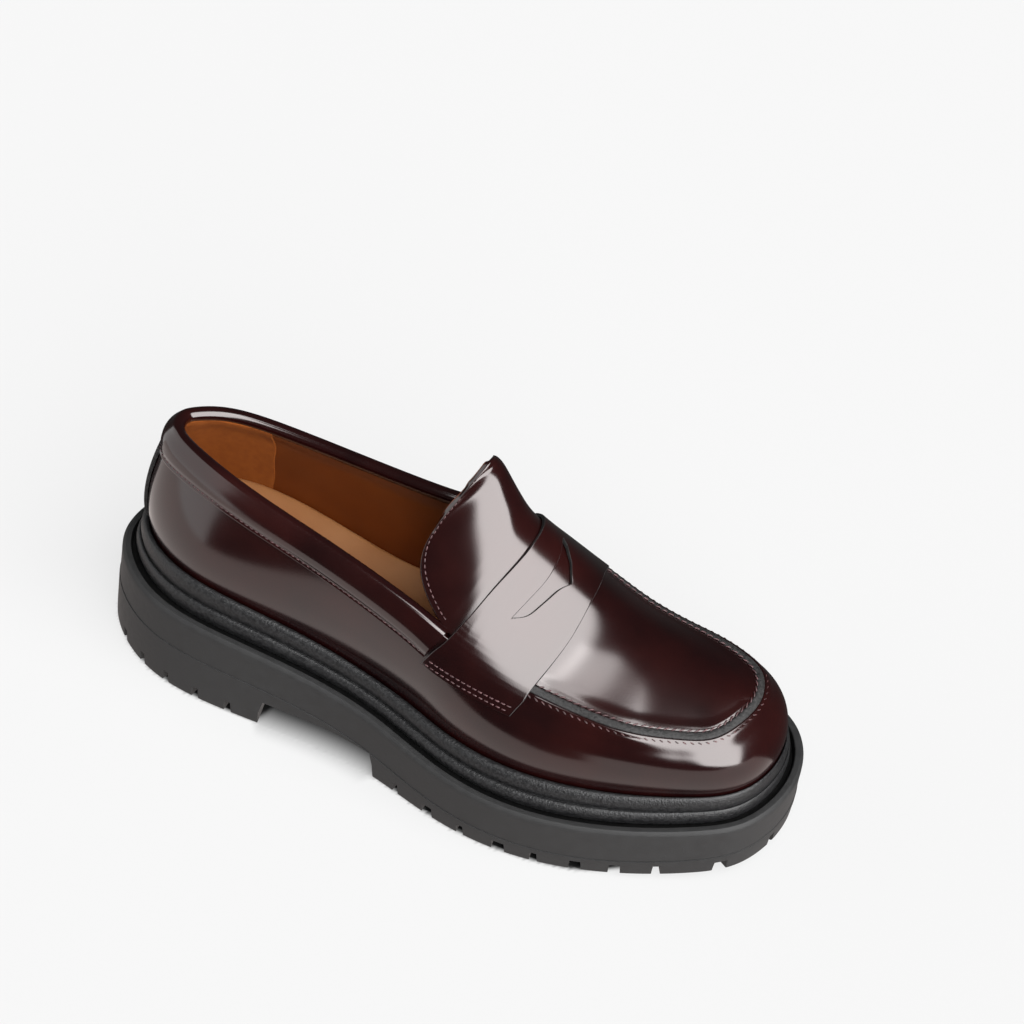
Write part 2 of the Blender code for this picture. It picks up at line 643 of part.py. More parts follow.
def prism(name, rim, depth):
    """Closed block from a loop of points and the same loop moved by depth."""
    count = len(rim)
    faces = [list(range(count))[::-1], list(range(count, 2 * count))]
    for i in range(count):
        k = (i + 1) % count
        faces.append([i, k, count + k, count + i])
    return make_object(name, np.vstack([rim, rim + depth]), faces, False)


def build_band():
    """Collar band from the strap on one side round the heel to the strap on the other."""
    table = np.array(BAND_ROWS, float)
    share_up = np.linspace(0, 1, BAND_ACROSS)[None, :]
    turn = np.linspace(0, 1, BAND_AROUND)[:, None]
    strap = np.array(STRAP_ROWS, float)
    base_start = np.interp(THROAT_MEDIAL + 1.0, table[:, 0], table[:, 1])
    v0 = base_start * (1 - share_up) + share_up
    lateral = np.interp(v0 - 2, strap[:5, 0], strap[:5, 1])
    medial = np.interp(2 - v0, strap[-4:, 0], strap[-4:, 1])
    start = THROAT_MEDIAL - medial + BAND_ROOM
    end = ROW_COUNT + THROAT_LATERAL + lateral - BAND_ROOM
    u = start * (1 - turn) + end * turn
    low = spline(table[:, 0], table[:, 1], u)
    v = low * (1 - share_up) + share_up
    outer = wall_point(u % ROW_COUNT, v)
    normal = grid_normals(outer)
    base = outer + normal * GAP
    return sheet_solid("collar_band", base + normal * BAND_THICKNESS, base)


def build_backstay():
    """Strip over the seam at the back of the heel, up to the collar band."""
    turn = np.linspace(-1, 1, 7)[:, None]
    u = ROW_COUNT + turn * BACKSTAY_HALF_WIDTH
    v = np.linspace(0.02, 0.70, 8)[None, :]
    outer = wall_point(u % ROW_COUNT, v)
    normal = grid_normals(outer)
    base = outer + normal * GAP
    return sheet_solid("backstay", base + normal * BAND_THICKNESS, base)


def foot_line(u, inward):
    """Line where the wall meets the welt, moved inward by a distance."""
    return wall_rows(u)[..., 0:3] - wall_outward(u) * inward


# Sole

def station_steps():
    """Steps of the outline at equal places along the length on both sides."""
    angle = np.linspace(0, np.pi, STATIONS_SOLE + 1)
    x = -np.cos(angle) * TREAD_LENGTH / 2
    marks = (BREAST_FOOT, BREAST_TOP, FORE_TOP, FORE_FOOT)
    inside = x[1:-1]
    for mark in marks:
        inside[np.argmin(np.abs(inside - mark))] = mark
    toe = int(np.argmax(FINE_POINTS[:, 0]))
    lateral = np.interp(inside, FINE_POINTS[:toe, 0], FINE[:toe])
    medial = np.interp(inside[::-1], FINE_POINTS[toe:, 0][::-1], FINE[toe:][::-1])
    return np.r_[FINE[0], lateral, FINE[toe], medial]


def under_height(x):
    """Underside of the sole body: heel, sloped breast, raised waist, forefoot."""
    low = LUG_HEIGHT
    profile = np.interp(x, (BREAST_FOOT, BREAST_TOP, FORE_TOP, FORE_FOOT),
                        (low, WAIST_HEIGHT, WAIST_HEIGHT, low))
    return profile + spring(x)


def breast_pull(x):
    """How far the middle of the underside is drawn back, for the vee of the heel breast."""
    marks = (BREAST_FOOT - BREAST_FADE, BREAST_FOOT, BREAST_TOP, BREAST_TOP + BREAST_FADE)
    return BREAST_VEE * np.interp(x, marks, (0, 1, 1, 0))


def build_sole_body():
    """Sole without lugs: underside, side wall, rim, shelf and the platform on top."""
    points, normals = outline_at(station_steps())
    x = points[:, 0]
    flare = rim_flare(x)
    under = under_height(x)
    levels = {"under": under,
              "parting": np.maximum(WALL_LINE_HEIGHT + spring(x), under + 1.0),
              "rim": rim_height(x)}
    rings = []
    for level, flare_share, outward, above in SOLE_WALL:
        place = points + normals * (flare * flare_share + outward)[:, None]
        rings.append(np.c_[place, levels[level] + above])
    inner = foot_line(foot_steps(points), GAP)
    rings.append(np.c_[inner[:, :2], rim_height(inner[:, 0])])
    inner[:, 2] -= PLATFORM_DROP
    rings.append(inner)
    return ring_solid("outsole", rings, middle_line(rings[0], breast_pull))


def foot_steps(points):
    """Row numbers of the foot line nearest to the given outline points."""
    u = np.linspace(0, ROW_COUNT, 1281)[:-1]
    line = wall_rows(u)[:, :2]
    d = np.linalg.norm(points[:, None, :] - line[None], axis=-1)
    return u[np.argmin(d, axis=1)]


def outline_step(x, y):
    """Step of the outline nearest to a point."""
    d = np.hypot(FINE_POINTS[:, 0] - x, FINE_POINTS[:, 1] - y)
    return FINE[int(np.argmin(d))]


def lug_polygon(first, last, direction):
    """Plan of one lug between two grooves, each given as outer x y, inner x y, half width."""
    total = OUTLINE_STEPS[-1]
    corners = []
    for groove, side in ((first, 1.0), (last, -1.0)):
        outer = np.array(groove[0:2])
        inner = np.array(groove[2:4])
        step = outline_step(*outer)
        point, _ = outline_at(np.array([step - 0.02, step + 0.02]))
        speed = np.linalg.norm(point[1] - point[0]) / 0.04
        line = outer - inner
        line /= np.linalg.norm(line)
        level = np.array([line[1], -line[0]]) * -direction
        corners.append((step + direction * side * groove[4] / speed, inner + level * side * groove[4]))
    begin = corners[0][0]
    end = corners[1][0]
    if (end - begin) * direction < 0:
        end += total * direction
    steps = np.linspace(begin, end, 4)
    points, normals = outline_at(steps)
    edge = points - normals * LUG_INSET
    return np.vstack([edge, corners[1][1], corners[0][1]])


def prisms(name, polygons):
    """Closed upright blocks, from the tread up into the sole body, in one mesh."""
    verts = []
    faces = []
    for polygon in polygons:
        polygon = np.asarray(polygon, float)
        count = len(polygon)
        base = len(verts)
        low = spring(polygon[:, 0])
        verts += [(*p, z) for p, z in zip(polygon, low)]
        verts += [(*p, z + LUG_HEIGHT + LUG_SINK) for p, z in zip(polygon, low)]
        faces.append([base + i for i in range(count)][::-1])
        faces.append([base + count + i for i in range(count)])
        for i in range(count):
            k = (i + 1) % count
            faces.append([base + i, base + k, base + count + k, base + count + i])
    return make_object(name, verts, faces, False)


def build_lugs():
    """All lugs of heel and forefoot and the blocks between them."""
    polygons = []
    for grooves, ends in ((HEEL_GROOVES, HEEL_ENDS), (FORE_GROOVES, FORE_ENDS)):
        cuts = [(*ends[0], 0.0)] + [(*g[:4], g[4] / 2) for g in grooves] + [(*ends[1], 0.0)]
        direction = 1.0 if grooves is HEEL_GROOVES else -1.0
        for first, last in zip(cuts[:-1], cuts[1:]):
            polygons.append(lug_polygon(first, last, direction))
    polygons += [np.array(block) for block in CENTRE_BLOCKS]
    return prisms("lugs", polygons)


def apply_boolean(target, tool, operation):
    """Apply one exact boolean and take the tool away."""
    modifier = target.modifiers.new(operation.lower(), "BOOLEAN")
    modifier.object = tool
    modifier.operation = operation
    modifier.solver = "EXACT"
    bpy.context.view_layer.objects.active = target
    bpy.ops.object.modifier_apply(modifier=modifier.name)
    bpy.data.objects.remove(tool, do_unlink=True)


def build_outsole():
    """Sole body with all lugs joined on."""
    body = build_sole_body()
    apply_boolean(body, build_lugs(), "UNION")
    return body


def build_welt():
    """Welt ring on the shelf: a foot on the shelf, a lower and an upper round bead."""
    u = np.linspace(0, ROW_COUNT, AROUND_WELT, endpoint=False)
    foot = wall_rows(u)[:, :3]
    out = wall_outward(u)
    steps = np.array([outline_step(*p) for p in foot[:, :2] + out[:, :2] * 8])
    points, normals = outline_at(steps)
    rim = points + normals * rim_flare(points[:, 0])[:, None]
    width = np.linalg.norm(rim - foot[:, :2], axis=1) - SHELF
    top = foot[:, 2] + WELT_ABOVE_FOOT
    rings = []
    for share_out, share_up in WELT_PROFILE:
        ring = foot + out * (GAP + (width - GAP) * share_out)[:, None]
        base = rim_height(ring[:, 0]) + GAP
        ring[:, 2] = base + (top - base) * share_up
        rings.append(ring)
    last = foot + out * GAP
    last[:, 2] = rim_height(last[:, 0]) + GAP
    rings.append(last)
    grid = np.stack(rings, 1)
    count, columns = grid.shape[:2]
    faces = []
    for i in range(count):
        k = (i + 1) % count
        for j in range(columns):
            m = (j + 1) % columns
            faces.append([i * columns + j, k * columns + j, k * columns + m, i * columns + m])
    return make_object("welt", grid.reshape(-1, 3), faces)


def build_insole():
    """Insole inside the foot of the upper, on the platform of the sole."""
    u = np.linspace(0, ROW_COUNT, AROUND_INSOLE, endpoint=False)
    base = foot_line(u, WALL + GAP + 0.1)
    low = base.copy()
    low[:, 2] -= PLATFORM_DROP - GAP
    high = low.copy()
    high[:, 2] += INSOLE_THICKNESS
    return ring_solid("insole", [low, high], middle_line(low, np.zeros_like))


def main():
    """Empty the file and build every piece."""
    for obj in list(bpy.data.objects):
        bpy.data.objects.remove(obj, do_unlink=True)
    build_outsole()
    build_welt()
    build_insole()
    build_upper()
    build_plug()
    build_strap()
    build_band()
    build_backstay()


main()
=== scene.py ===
# %% [markdown]
# # A chunky loafer, dressed piece by piece
# The imported solids give the true size and place of every part of the shoe. This lesson
# lays finer surfaces over them: leather with rolled and cut edges, thread, rubber with
# chamfered lugs, and light like that of a product photo.
# We start by loading the solids and by keeping each of them in its place.

# %% Load the solids
import bpy
import bmesh
import numpy as np
from mathutils import Matrix


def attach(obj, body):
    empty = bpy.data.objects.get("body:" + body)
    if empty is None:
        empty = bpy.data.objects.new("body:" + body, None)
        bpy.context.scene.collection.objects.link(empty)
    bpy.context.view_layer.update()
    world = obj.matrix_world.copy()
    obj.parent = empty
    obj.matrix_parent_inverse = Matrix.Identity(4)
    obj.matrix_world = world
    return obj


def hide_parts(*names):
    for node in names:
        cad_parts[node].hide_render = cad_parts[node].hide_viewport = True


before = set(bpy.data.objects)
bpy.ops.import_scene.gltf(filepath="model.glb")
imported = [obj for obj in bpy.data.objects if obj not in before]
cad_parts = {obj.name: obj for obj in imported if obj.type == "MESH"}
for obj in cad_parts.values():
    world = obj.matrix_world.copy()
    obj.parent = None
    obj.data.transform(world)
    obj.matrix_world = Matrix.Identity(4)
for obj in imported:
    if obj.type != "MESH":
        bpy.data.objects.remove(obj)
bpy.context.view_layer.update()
print("solids loaded:", ", ".join(sorted(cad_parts)))

# %% [markdown]
# All sizes below are in millimetres, with +X to the toe, +Y to the inner side and +Z up.
# They are the named tables that the solids were made from. Only the tongue's roundness, the
# strap's thickness and one end of the tread are finer here, and the difference is small.

# %% Sizes of the shoe
MM = 0.001
CENTRE = np.array([0.7, -1.65, 0.0])   # middle of the shoe's box, moved to the origin
TREAD_LENGTH = 272.0
GAP = 0.3               # air between pieces that lie on each other
WALL = 2.2              # leather and lining of the upper together
STRAP_THICKNESS = 1.3
BAND_THICKNESS = 1.3
SEAM_STEP = 0.9         # the upper stands up this much beside the toe seam
LUG_HEIGHT = 6.0
WAIST_HEIGHT = 13.1
TOE_SPRING = 7.2        # the tread rises this much to the toe, from this share of its length
SPRING_START = 0.66
BEAD_INSET = 5.4        # from the rim to the lower bead
GROOVE_INSET = 3.3      # from the rim to the groove beside the bead
PLATFORM_DROP = 2.6
THROAT_LATERAL = 8      # rows of the upper where its seam starts, turns and ends
TOE_ROW = 16
THROAT_MEDIAL = 24
TOE_TIP_Y = 2.6

# share of length, lateral half width, medial half width
TREAD_OUTLINE = (
    (0.000, 0.0, 0.0), (0.035, 20.8, 25.2), (0.120, 35.5, 33.3), (0.240, 39.4, 30.9),
    (0.360, 39.4, 28.8), (0.460, 42.4, 34.7), (0.580, 50.8, 45.7), (0.700, 52.2, 49.1),
    (0.820, 44.8, 42.8), (0.920, 33.1, 35.0), (0.975, 21.3, 23.7), (1.000, 0.0, 0.0),
)
# share of length, rim height, how far the rim stands outside the tread
SOLE_HEIGHTS = (
    (0.00, 37.3, -2.9), (0.28, 35.9, -0.9), (0.50, 29.2, 0.6), (0.72, 26.6, 2.2), (1.00, 31.5, 1.6),
)
# foot x y z, edge x y z, lean, rise, run, drop: one row per section around the shoe
UPPER_ROWS = (
    (-122.8, 1.5, 49.8, -113.6, 4.0, 97.5, 3.0, 16.0, 5.5, 14.0),
    (-118.5, -10.0, 50.1, -111.0, -4.0, 98.5, 3.0, 16.0, 5.5, 14.0),
    (-108.0, -19.3, 50.6, -102.0, -10.5, 99.2, 3.0, 16.0, 5.0, 14.0),
    (-92.0, -25.6, 50.4, -88.0, -16.0, 98.8, 3.0, 16.0, 4.5, 14.0),
    (-70.0, -27.5, 48.4, -68.0, -20.5, 96.0, 3.0, 16.0, 4.0, 14.0),
    (-43.0, -28.0, 44.8, -42.0, -24.5, 92.0, 3.0, 16.0, 3.5, 14.0),
    (-17.0, -30.5, 40.8, -17.0, -28.8, 88.0, 3.0, 16.0, 3.5, 14.0),
    (3.0, -35.0, 38.5, 1.0, -32.0, 84.0, 3.0, 16.0, 4.0, 13.0),
    (18.0, -39.6, 37.3, 14.0, -34.0, 79.5, 3.0, 15.0, 5.0, 11.0),
    (35.0, -42.7, 36.7, 31.0, -34.8, 73.5, 3.0, 14.0, 6.0, 8.0),
    (53.0, -43.0, 36.6, 48.0, -34.5, 68.8, 3.0, 13.0, 6.5, 6.0),
    (72.0, -40.2, 37.0, 66.0, -34.0, 66.3, 3.0, 13.0, 6.0, 5.0),
    (90.0, -35.4, 37.9, 84.0, -32.5, 65.3, 3.0, 12.0, 5.5, 4.5),
    (106.0, -29.3, 39.0, 100.0, -26.0, 63.5, 2.8, 12.0, 5.5, 4.0),
    (119.0, -22.3, 40.0, 111.0, -19.5, 63.0, 2.5, 12.0, 6.0, 4.0),
    (127.3, -11.5, 40.7, 117.0, -9.0, 63.5, 2.5, 12.0, 6.0, 4.0),
    (129.8, 2.0, 40.9, 119.5, 3.0, 64.3, 2.5, 12.0, 6.0, 4.0),
    (127.3, 14.2, 40.7, 116.5, 13.5, 64.8, 2.5, 12.0, 6.0, 4.0),
    (119.0, 24.5, 40.0, 109.0, 19.5, 65.0, 2.5, 12.0, 6.0, 4.5),
    (105.0, 30.7, 39.0, 97.0, 22.8, 65.8, 2.8, 12.0, 6.0, 5.0),
    (88.0, 34.4, 37.8, 84.0, 24.8, 65.6, 3.0, 12.0, 6.0, 5.0),
    (70.0, 38.0, 36.9, 68.0, 26.8, 66.8, 3.0, 13.0, 6.5, 6.0),
    (52.0, 40.0, 36.6, 52.0, 29.0, 71.0, 3.0, 14.0, 6.5, 8.0),
    (35.0, 38.8, 36.7, 34.0, 31.0, 77.0, 3.0, 15.0, 6.0, 10.0),
    (18.0, 34.3, 37.3, 16.0, 32.0, 82.0, 3.0, 16.0, 5.0, 12.0),
    (3.0, 28.6, 38.5, 2.0, 28.0, 86.0, 3.5, 16.0, 4.0, 13.0),
    (-17.0, 21.5, 40.8, -13.0, 24.0, 88.3, 4.0, 16.0, 3.5, 14.0),
    (-43.0, 21.5, 44.8, -40.0, 23.2, 89.3, 3.5, 15.0, 3.5, 13.0),
    (-70.0, 24.5, 48.4, -68.0, 22.3, 91.2, 3.0, 14.0, 4.0, 13.0),
    (-92.0, 24.3, 50.4, -90.0, 19.8, 93.8, 3.0, 14.0, 4.5, 13.0),
    (-108.0, 20.5, 50.6, -103.0, 15.3, 95.8, 3.0, 15.0, 5.0, 13.0),
    (-118.5, 13.0, 50.1, -111.0, 9.5, 96.8, 3.0, 16.0, 5.5, 14.0),
)
# station, ridge x y z, roundness
PLUG_RIDGE = (
    (0.0, 25.0, 7.0, 105.3, 0.56), (1.0, 38.5, 7.0, 95.2, 0.50), (2.0, 51.5, 6.5, 87.0, 0.44),
    (3.0, 66.0, 5.5, 80.3, 0.40), (4.0, 82.0, 4.5, 76.0, 0.45), (5.0, 96.0, 4.0, 72.6, 0.50),
    (6.0, 107.0, 3.5, 69.6, 0.60), (7.0, 114.5, 3.0, 67.2, 0.80), (8.0, 119.5, 3.0, 64.6, 1.00),
)
# station, lateral edge x y z, ridge x y z, medial edge x y z, roundness
TONGUE_ROWS = (
    (-0.5, 7.0, -30.5, 82.0, 22.5, 7.5, 109.5, 9.0, 31.0, 85.0, 0.58),
    (-1.0, 0.5, -26.5, 86.5, 20.0, 8.0, 113.5, 3.5, 30.0, 90.0, 0.60),
    (-2.0, -5.5, -20.0, 96.0, 16.0, 8.5, 120.0, -2.0, 28.5, 99.0, 0.62),
    (-3.0, -3.5, -13.0, 106.5, 12.8, 8.5, 125.0, 0.0, 25.5, 108.5, 0.66),
    (-4.0, 2.0, -7.0, 117.0, 10.2, 7.5, 128.6, 4.0, 19.5, 118.5, 0.80),
    (-5.0, 7.0, 0.5, 127.8, 8.4, 6.0, 131.0, 7.6, 11.0, 128.0, 0.95),
)
# rear reach, rear station, front reach, front station, from the lateral to the medial end
STRAP_ROWS = (
    (-1.41, -0.63, -1.36, 1.62), (-1.22, -0.32, -1.17, 1.83), (-1.00, 0.00, -1.00, 1.93),
    (-0.60, 0.15, -0.60, 2.13), (-0.25, 0.29, -0.25, 2.16), (0.10, 0.28, 0.10, 2.10),
    (0.50, 0.15, 0.50, 1.93), (1.00, -0.05, 1.00, 1.75), (1.20, -0.30, 1.16, 1.65),
    (1.40, -0.60, 1.34, 1.50),
)
# reach, station: rear and front side of the two-lobed slot
SLOT_REAR = ((-0.64, 0.83), (-0.47, 0.91), (-0.25, 0.99), (-0.10, 0.97), (0.08, 0.88), (0.31, 0.78))
SLOT_FRONT = (
    (-0.64, 0.83), (-0.60, 0.97), (-0.49, 1.14), (-0.34, 1.26), (-0.23, 1.36), (-0.15, 1.50),
    (-0.07, 1.34), (0.06, 1.12), (0.22, 0.92), (0.31, 0.78),
)
# row number, share of the wall height where the collar band starts
BAND_ROWS = ((24.0, 0.66), (28.0, 0.70), (32.0, 0.72), (36.0, 0.74), (38.0, 0.70), (40.0, 0.66))
BACKSTAY_HALF_WIDTH = 0.62
# outer x y, inner x y, width of each tread groove
HEEL_GROOVES = (
    (-70.5, 31.0, -69.5, 3.0, 3.2), (-86.0, 33.0, -79.0, 5.0, 3.2), (-101.0, 33.0, -89.0, 8.5, 3.2),
    (-115.0, 31.5, -97.0, 12.0, 3.0), (-127.0, 25.0, -106.0, 13.0, 3.0),
    (-134.0, 14.5, -109.0, 8.5, 3.0), (-136.0, 1.0, -109.0, 1.0, 3.0),
    (-131.5, -12.0, -108.0, -5.5, 3.0), (-121.5, -24.5, -104.0, -10.5, 3.0),
    (-110.5, -32.0, -99.0, -17.0, 3.0), (-98.5, -36.5, -91.0, -17.0, 3.0),
    (-85.0, -38.5, -81.0, -13.5, 3.0), (-71.0, -39.5, -70.0, -9.5, 3.0),
)
HEEL_ENDS = ((-58.5, 30.5, -63.5, 2.0), (-58.5, -40.0, -64.5, -8.5))
FORE_GROOVES = (
    (2.5, 42.0, 12.5, 13.0, 2.8), (18.0, 45.5, 23.0, 18.0, 4.8), (30.5, 48.0, 33.5, 19.0, 3.0),
    (44.5, 49.3, 44.5, 19.5, 5.2), (59.5, 48.5, 54.5, 18.5, 3.0), (75.0, 46.0, 67.5, 16.5, 4.8),
    (90.0, 42.0, 78.0, 14.5, 3.2), (103.0, 38.0, 89.5, 14.0, 5.0), (122.5, 29.0, 100.0, 11.5, 5.6),
    (134.5, 12.0, 106.0, 5.0, 3.2), (133.5, -9.0, 105.0, -3.0, 3.2),
    (120.5, -25.5, 98.0, -11.5, 5.2), (102.0, -37.5, 88.5, -14.5, 3.2),
    (88.5, -43.5, 79.5, -18.5, 4.4), (75.0, -48.5, 67.5, -22.0, 4.6),
    (60.0, -51.5, 55.0, -24.0, 3.0), (46.5, -52.5, 42.5, -26.0, 5.2),
    (31.0, -51.8, 29.5, -26.5, 3.0), (16.5, -49.8, 17.0, -25.5, 4.8), (1.5, -46.5, 4.5, -22.5, 2.8),
)
FORE_ENDS = ((-9.5, 35.5, 6.5, 12.5), (-9.0, -43.0, -1.5, -22.0))
CENTRE_BLOCKS = (
    ((-104.5, 8.0), (-102.0, -3.5), (-96.5, -1.5), (-89.5, 4.2), (-92.0, 7.0)),
    ((-98.5, -5.5), (-94.5, -13.5), (-83.0, -10.0), (-73.0, -5.5), (-73.0, -1.0), (-87.0, 1.6)),
    ((6.5, 8.5), (0.5, -9.5), (11.0, -9.0), (15.5, 0.0), (12.5, 8.0)),
    ((21.5, 11.0), (18.5, -1.0), (15.0, -9.5), (34.5, -11.5), (37.5, -6.0)),
    ((53.5, 4.5), (38.5, -14.0), (63.0, -17.5)),
    ((41.0, 13.5), (50.0, 4.5), (55.5, 7.5), (64.0, -8.0), (65.0, 13.0)),
    ((73.5, 11.5), (79.5, -12.0), (100.0, 1.5)),
)
# x of the heel breast, of its vee and of the front end of the arch
BREAST_FOOT = -58.3
BREAST_TOP = -50.5
BREAST_VEE = 6.0
BREAST_FADE = 13.0
FORE_TOP = -18.0
FORE_FOOT = -12.6
print("rows of the upper:", len(UPPER_ROWS), " grooves:", len(HEEL_GROOVES) + len(FORE_GROOVES))

# %% [markdown]
# Every curve of the shoe runs through the rows of a table. A cubic spline does that with
# the least bending, and a closed one runs round the shoe without a seam.

# %% Smooth curves through a table


def spline(knots, values, at, closed=False):
    """Cubic spline through the rows of values; natural ends, or periodic when closed."""
    knots = np.asarray(knots, float)
    values = np.asarray(values, float)
    gaps = np.diff(knots)
    count = len(knots)
    matrix = np.zeros((count, count))
    right = np.zeros(values.shape)
    inner = np.arange(1, count - 1)
    matrix[inner, inner - 1] = gaps[:-1]
    matrix[inner, inner] = 2 * (gaps[:-1] + gaps[1:])
    matrix[inner, inner + 1] = gaps[1:]
    slope = np.diff(values, axis=0) / gaps.reshape((-1,) + (1,) * (values.ndim - 1))
    right[inner] = 6 * np.diff(slope, axis=0)
    if closed:
        matrix[0, [0, -1]] = (1, -1)
        matrix[-1, [0, 1]] = (2 * gaps[0], gaps[0])
        matrix[-1, [-1, -2]] = (2 * gaps[-1], gaps[-1])
        right[-1] = 6 * (slope[0] - slope[-1])
    else:
        matrix[0, 0] = 1
        matrix[-1, -1] = 1
    bend = np.linalg.solve(matrix, right)
    at = np.asarray(at, float)
    if closed:
        at = knots[0] + (at - knots[0]) % (knots[-1] - knots[0])
    else:
        at = np.clip(at, knots[0], knots[-1])
    k = np.clip(np.searchsorted(knots, at, side="right") - 1, 0, count - 2)
    h = gaps[k]
    a = (knots[k + 1] - at) / h
    b = (at - knots[k]) / h
    if values.ndim > 1:
        a, b, h = a[..., None], b[..., None], h[..., None]
    return (a * values[k] + b * values[k + 1]
            + ((a ** 3 - a) * bend[k] + (b ** 3 - b) * bend[k + 1]) * h * h / 6)


def unit(vectors):
    """Vectors divided by their length."""
    return vectors / np.maximum(np.linalg.norm(vectors, axis=-1), 1e-9)[..., None]


def smooth_step(x, low, high):
    """0 below low, 1 above high, and 3t^2 - 2t^3 between."""
    t = np.clip((np.asarray(x, float) - low) / (high - low), 0, 1)
    return t * t * (3 - 2 * t)


# %% Surface of the last: wall, plug and tongue
ROW_COUNT = len(UPPER_ROWS)
ROW_KNOTS = np.arange(ROW_COUNT + 1, dtype=float)
ROWS = np.array(UPPER_ROWS + (UPPER_ROWS[0],), float)
UP = np.array([0.0, 0.0, 1.0])


def wall_rows(u):
    """The ten columns of the upper's table at row number u, on a smooth closed curve."""
    return spline(ROW_KNOTS, ROWS, u, True)


def wall_outward(u):
    """Level outward direction of the wall: the foot line's direction turned by 90 degrees."""
    along = unit(wall_rows(np.asarray(u) + 0.02)[..., :2] - wall_rows(np.asarray(u) - 0.02)[..., :2])
    return np.stack([along[..., 1], -along[..., 0], np.zeros(along.shape[:-1])], -1)


def wall_point(u, v):
    """Outer surface of the upper: a cubic arc from the foot (v=0) to the edge (v=1)."""
    u, v = np.broadcast_arrays(np.asarray(u, float), np.asarray(v, float))
    row = wall_rows(u)
    out = wall_outward(u)
    foot = row[..., 0:3]
    edge = row[..., 3:6]
    low = foot + out * row[..., 6:7] + UP * row[..., 7:8]
    high = edge + out * row[..., 8:9] - UP * row[..., 9:10]
    t = v[..., None]
    s = 1 - t
    return s ** 3 * foot + 3 * s * s * t * low + 3 * s * t * t * high + t ** 3 * edge


def wall_normal(u, v):
    """Outward normal of the wall, from its slopes along and up."""
    u, v = np.broadcast_arrays(np.asarray(u, float), np.asarray(v, float))
    along = wall_point(u + 0.02, v) - wall_point(u - 0.02, v)
    rise = wall_point(u, np.clip(v, 0.02, 1)) - wall_point(u, np.clip(v, 0.02, 1) - 0.02)
    return unit(np.cross(along, rise))


def drop(w, roundness):
    """Rounded roof: 0 at the ridge, 1 at the edge, straighter for a small roundness."""
    return (np.sqrt(w * w + roundness ** 2) - roundness) / (np.sqrt(1 + roundness ** 2) - roundness)


def plug_rows(station):
    """Lateral edge, ridge, medial edge and roundness of the plug or tongue at a station."""
    station = np.asarray(station, float)
    ahead = np.clip(station, 0, TOE_ROW - THROAT_LATERAL)
    lateral = wall_point(THROAT_LATERAL + ahead, 1.0)
    medial = wall_point(THROAT_MEDIAL - ahead, 1.0)
    ridge = np.array(PLUG_RIDGE, float)
    tongue = np.array(TONGUE_ROWS[::-1], float)
    first = np.concatenate([[0.0], wall_point(THROAT_LATERAL, 1.0), ridge[0, 1:4],
                            wall_point(THROAT_MEDIAL, 1.0), ridge[0, 4:5]])
    back = np.vstack([tongue, first])
    knots = np.r_[tongue[:, 0], ridge[:, 0]]
    crest = spline(knots, np.vstack([tongue[:, [4, 5, 6, 10]], ridge[:, 1:5]]), station)
    behind = np.clip(station, tongue[0, 0], 0)
    choose = (station < 0)[..., None]
    lateral = np.where(choose, spline(back[:, 0], back[:, 1:4], behind), lateral)
    medial = np.where(choose, spline(back[:, 0], back[:, 7:10], behind), medial)
    return lateral, crest[..., :3], medial, crest[..., 3]


def plug_section(station, q):
    """Roof between two edges and a ridge: q runs from -1 (lateral) over 0 (ridge) to 1."""
    station, q = np.broadcast_arrays(np.asarray(station, float), np.asarray(q, float))
    lateral, crest, medial, roundness = plug_rows(station)
    side = np.where((q < 0)[..., None], lateral, medial)
    w = np.abs(q)
    point = crest + (side - crest) * drop(w, roundness)[..., None]
    point[..., 1] = crest[..., 1] + (side[..., 1] - crest[..., 1]) * w
    return point


def plug_point(station, q):
    """Outer surface of plug and tongue: near the throat a mean of five sections close by."""
    station, q = np.broadcast_arrays(np.asarray(station, float), np.asarray(q, float))
    spread = 0.55 * smooth_step(station, -3.6, -1.8) * (1 - smooth_step(station, 0.4, 1.35))
    total = 3 * plug_section(station, q)
    for step, weight in ((-1.0, 1), (-0.5, 2), (0.5, 2), (1.0, 1)):
        total = total + weight * plug_section(station + step * spread, q)
    return total / 9


def body_point(station, reach):
    """Outer surface under the strap: plug inside reach 1, wall of the upper beyond."""
    station, reach = np.broadcast_arrays(np.asarray(station, float), np.asarray(reach, float))
    inner = plug_point(station, np.clip(reach, -1, 1))
    u = np.where(reach < 0, THROAT_LATERAL + station, THROAT_MEDIAL - station)
    outer = wall_point(u, np.clip(2 - np.abs(reach), 0, 1))
    return np.where((np.abs(reach) > 1)[..., None], outer, inner)


def grid_normals(points):
    """Unit normals of a grid of points, from the differences along both directions."""
    return unit(np.cross(np.gradient(points, axis=0), np.gradient(points, axis=1)))


print("topline height:", round(float(wall_point(0, 1)[2]), 1), "mm")

# %% [markdown]
# A piece of leather is a closed shell: an outer grid of points, an inner one, and the
# strips that join their borders. The helper below makes all quads as whole arrays, and
# Blender merges the doubled points and turns the faces outward once.

# %% Closed shells from grids


def place(points):
    """From the shoe's millimetres to metres in the frame of the solids."""
    return (np.asarray(points, float).reshape(-1, 3) - CENTRE) * MM


def quads_of(rows, columns, start=0, wrap=False):
    """Quads of a grid of vertices numbered row by row; wrap joins the last row to the first."""
    i, j = np.meshgrid(np.arange(rows if wrap else rows - 1), np.arange(columns - 1), indexing="ij")
    k = (i + 1) % rows
    quads = np.stack([i * columns + j, k * columns + j, k * columns + j + 1, i * columns + j + 1], -1)
    return quads.reshape(-1, 4) + start


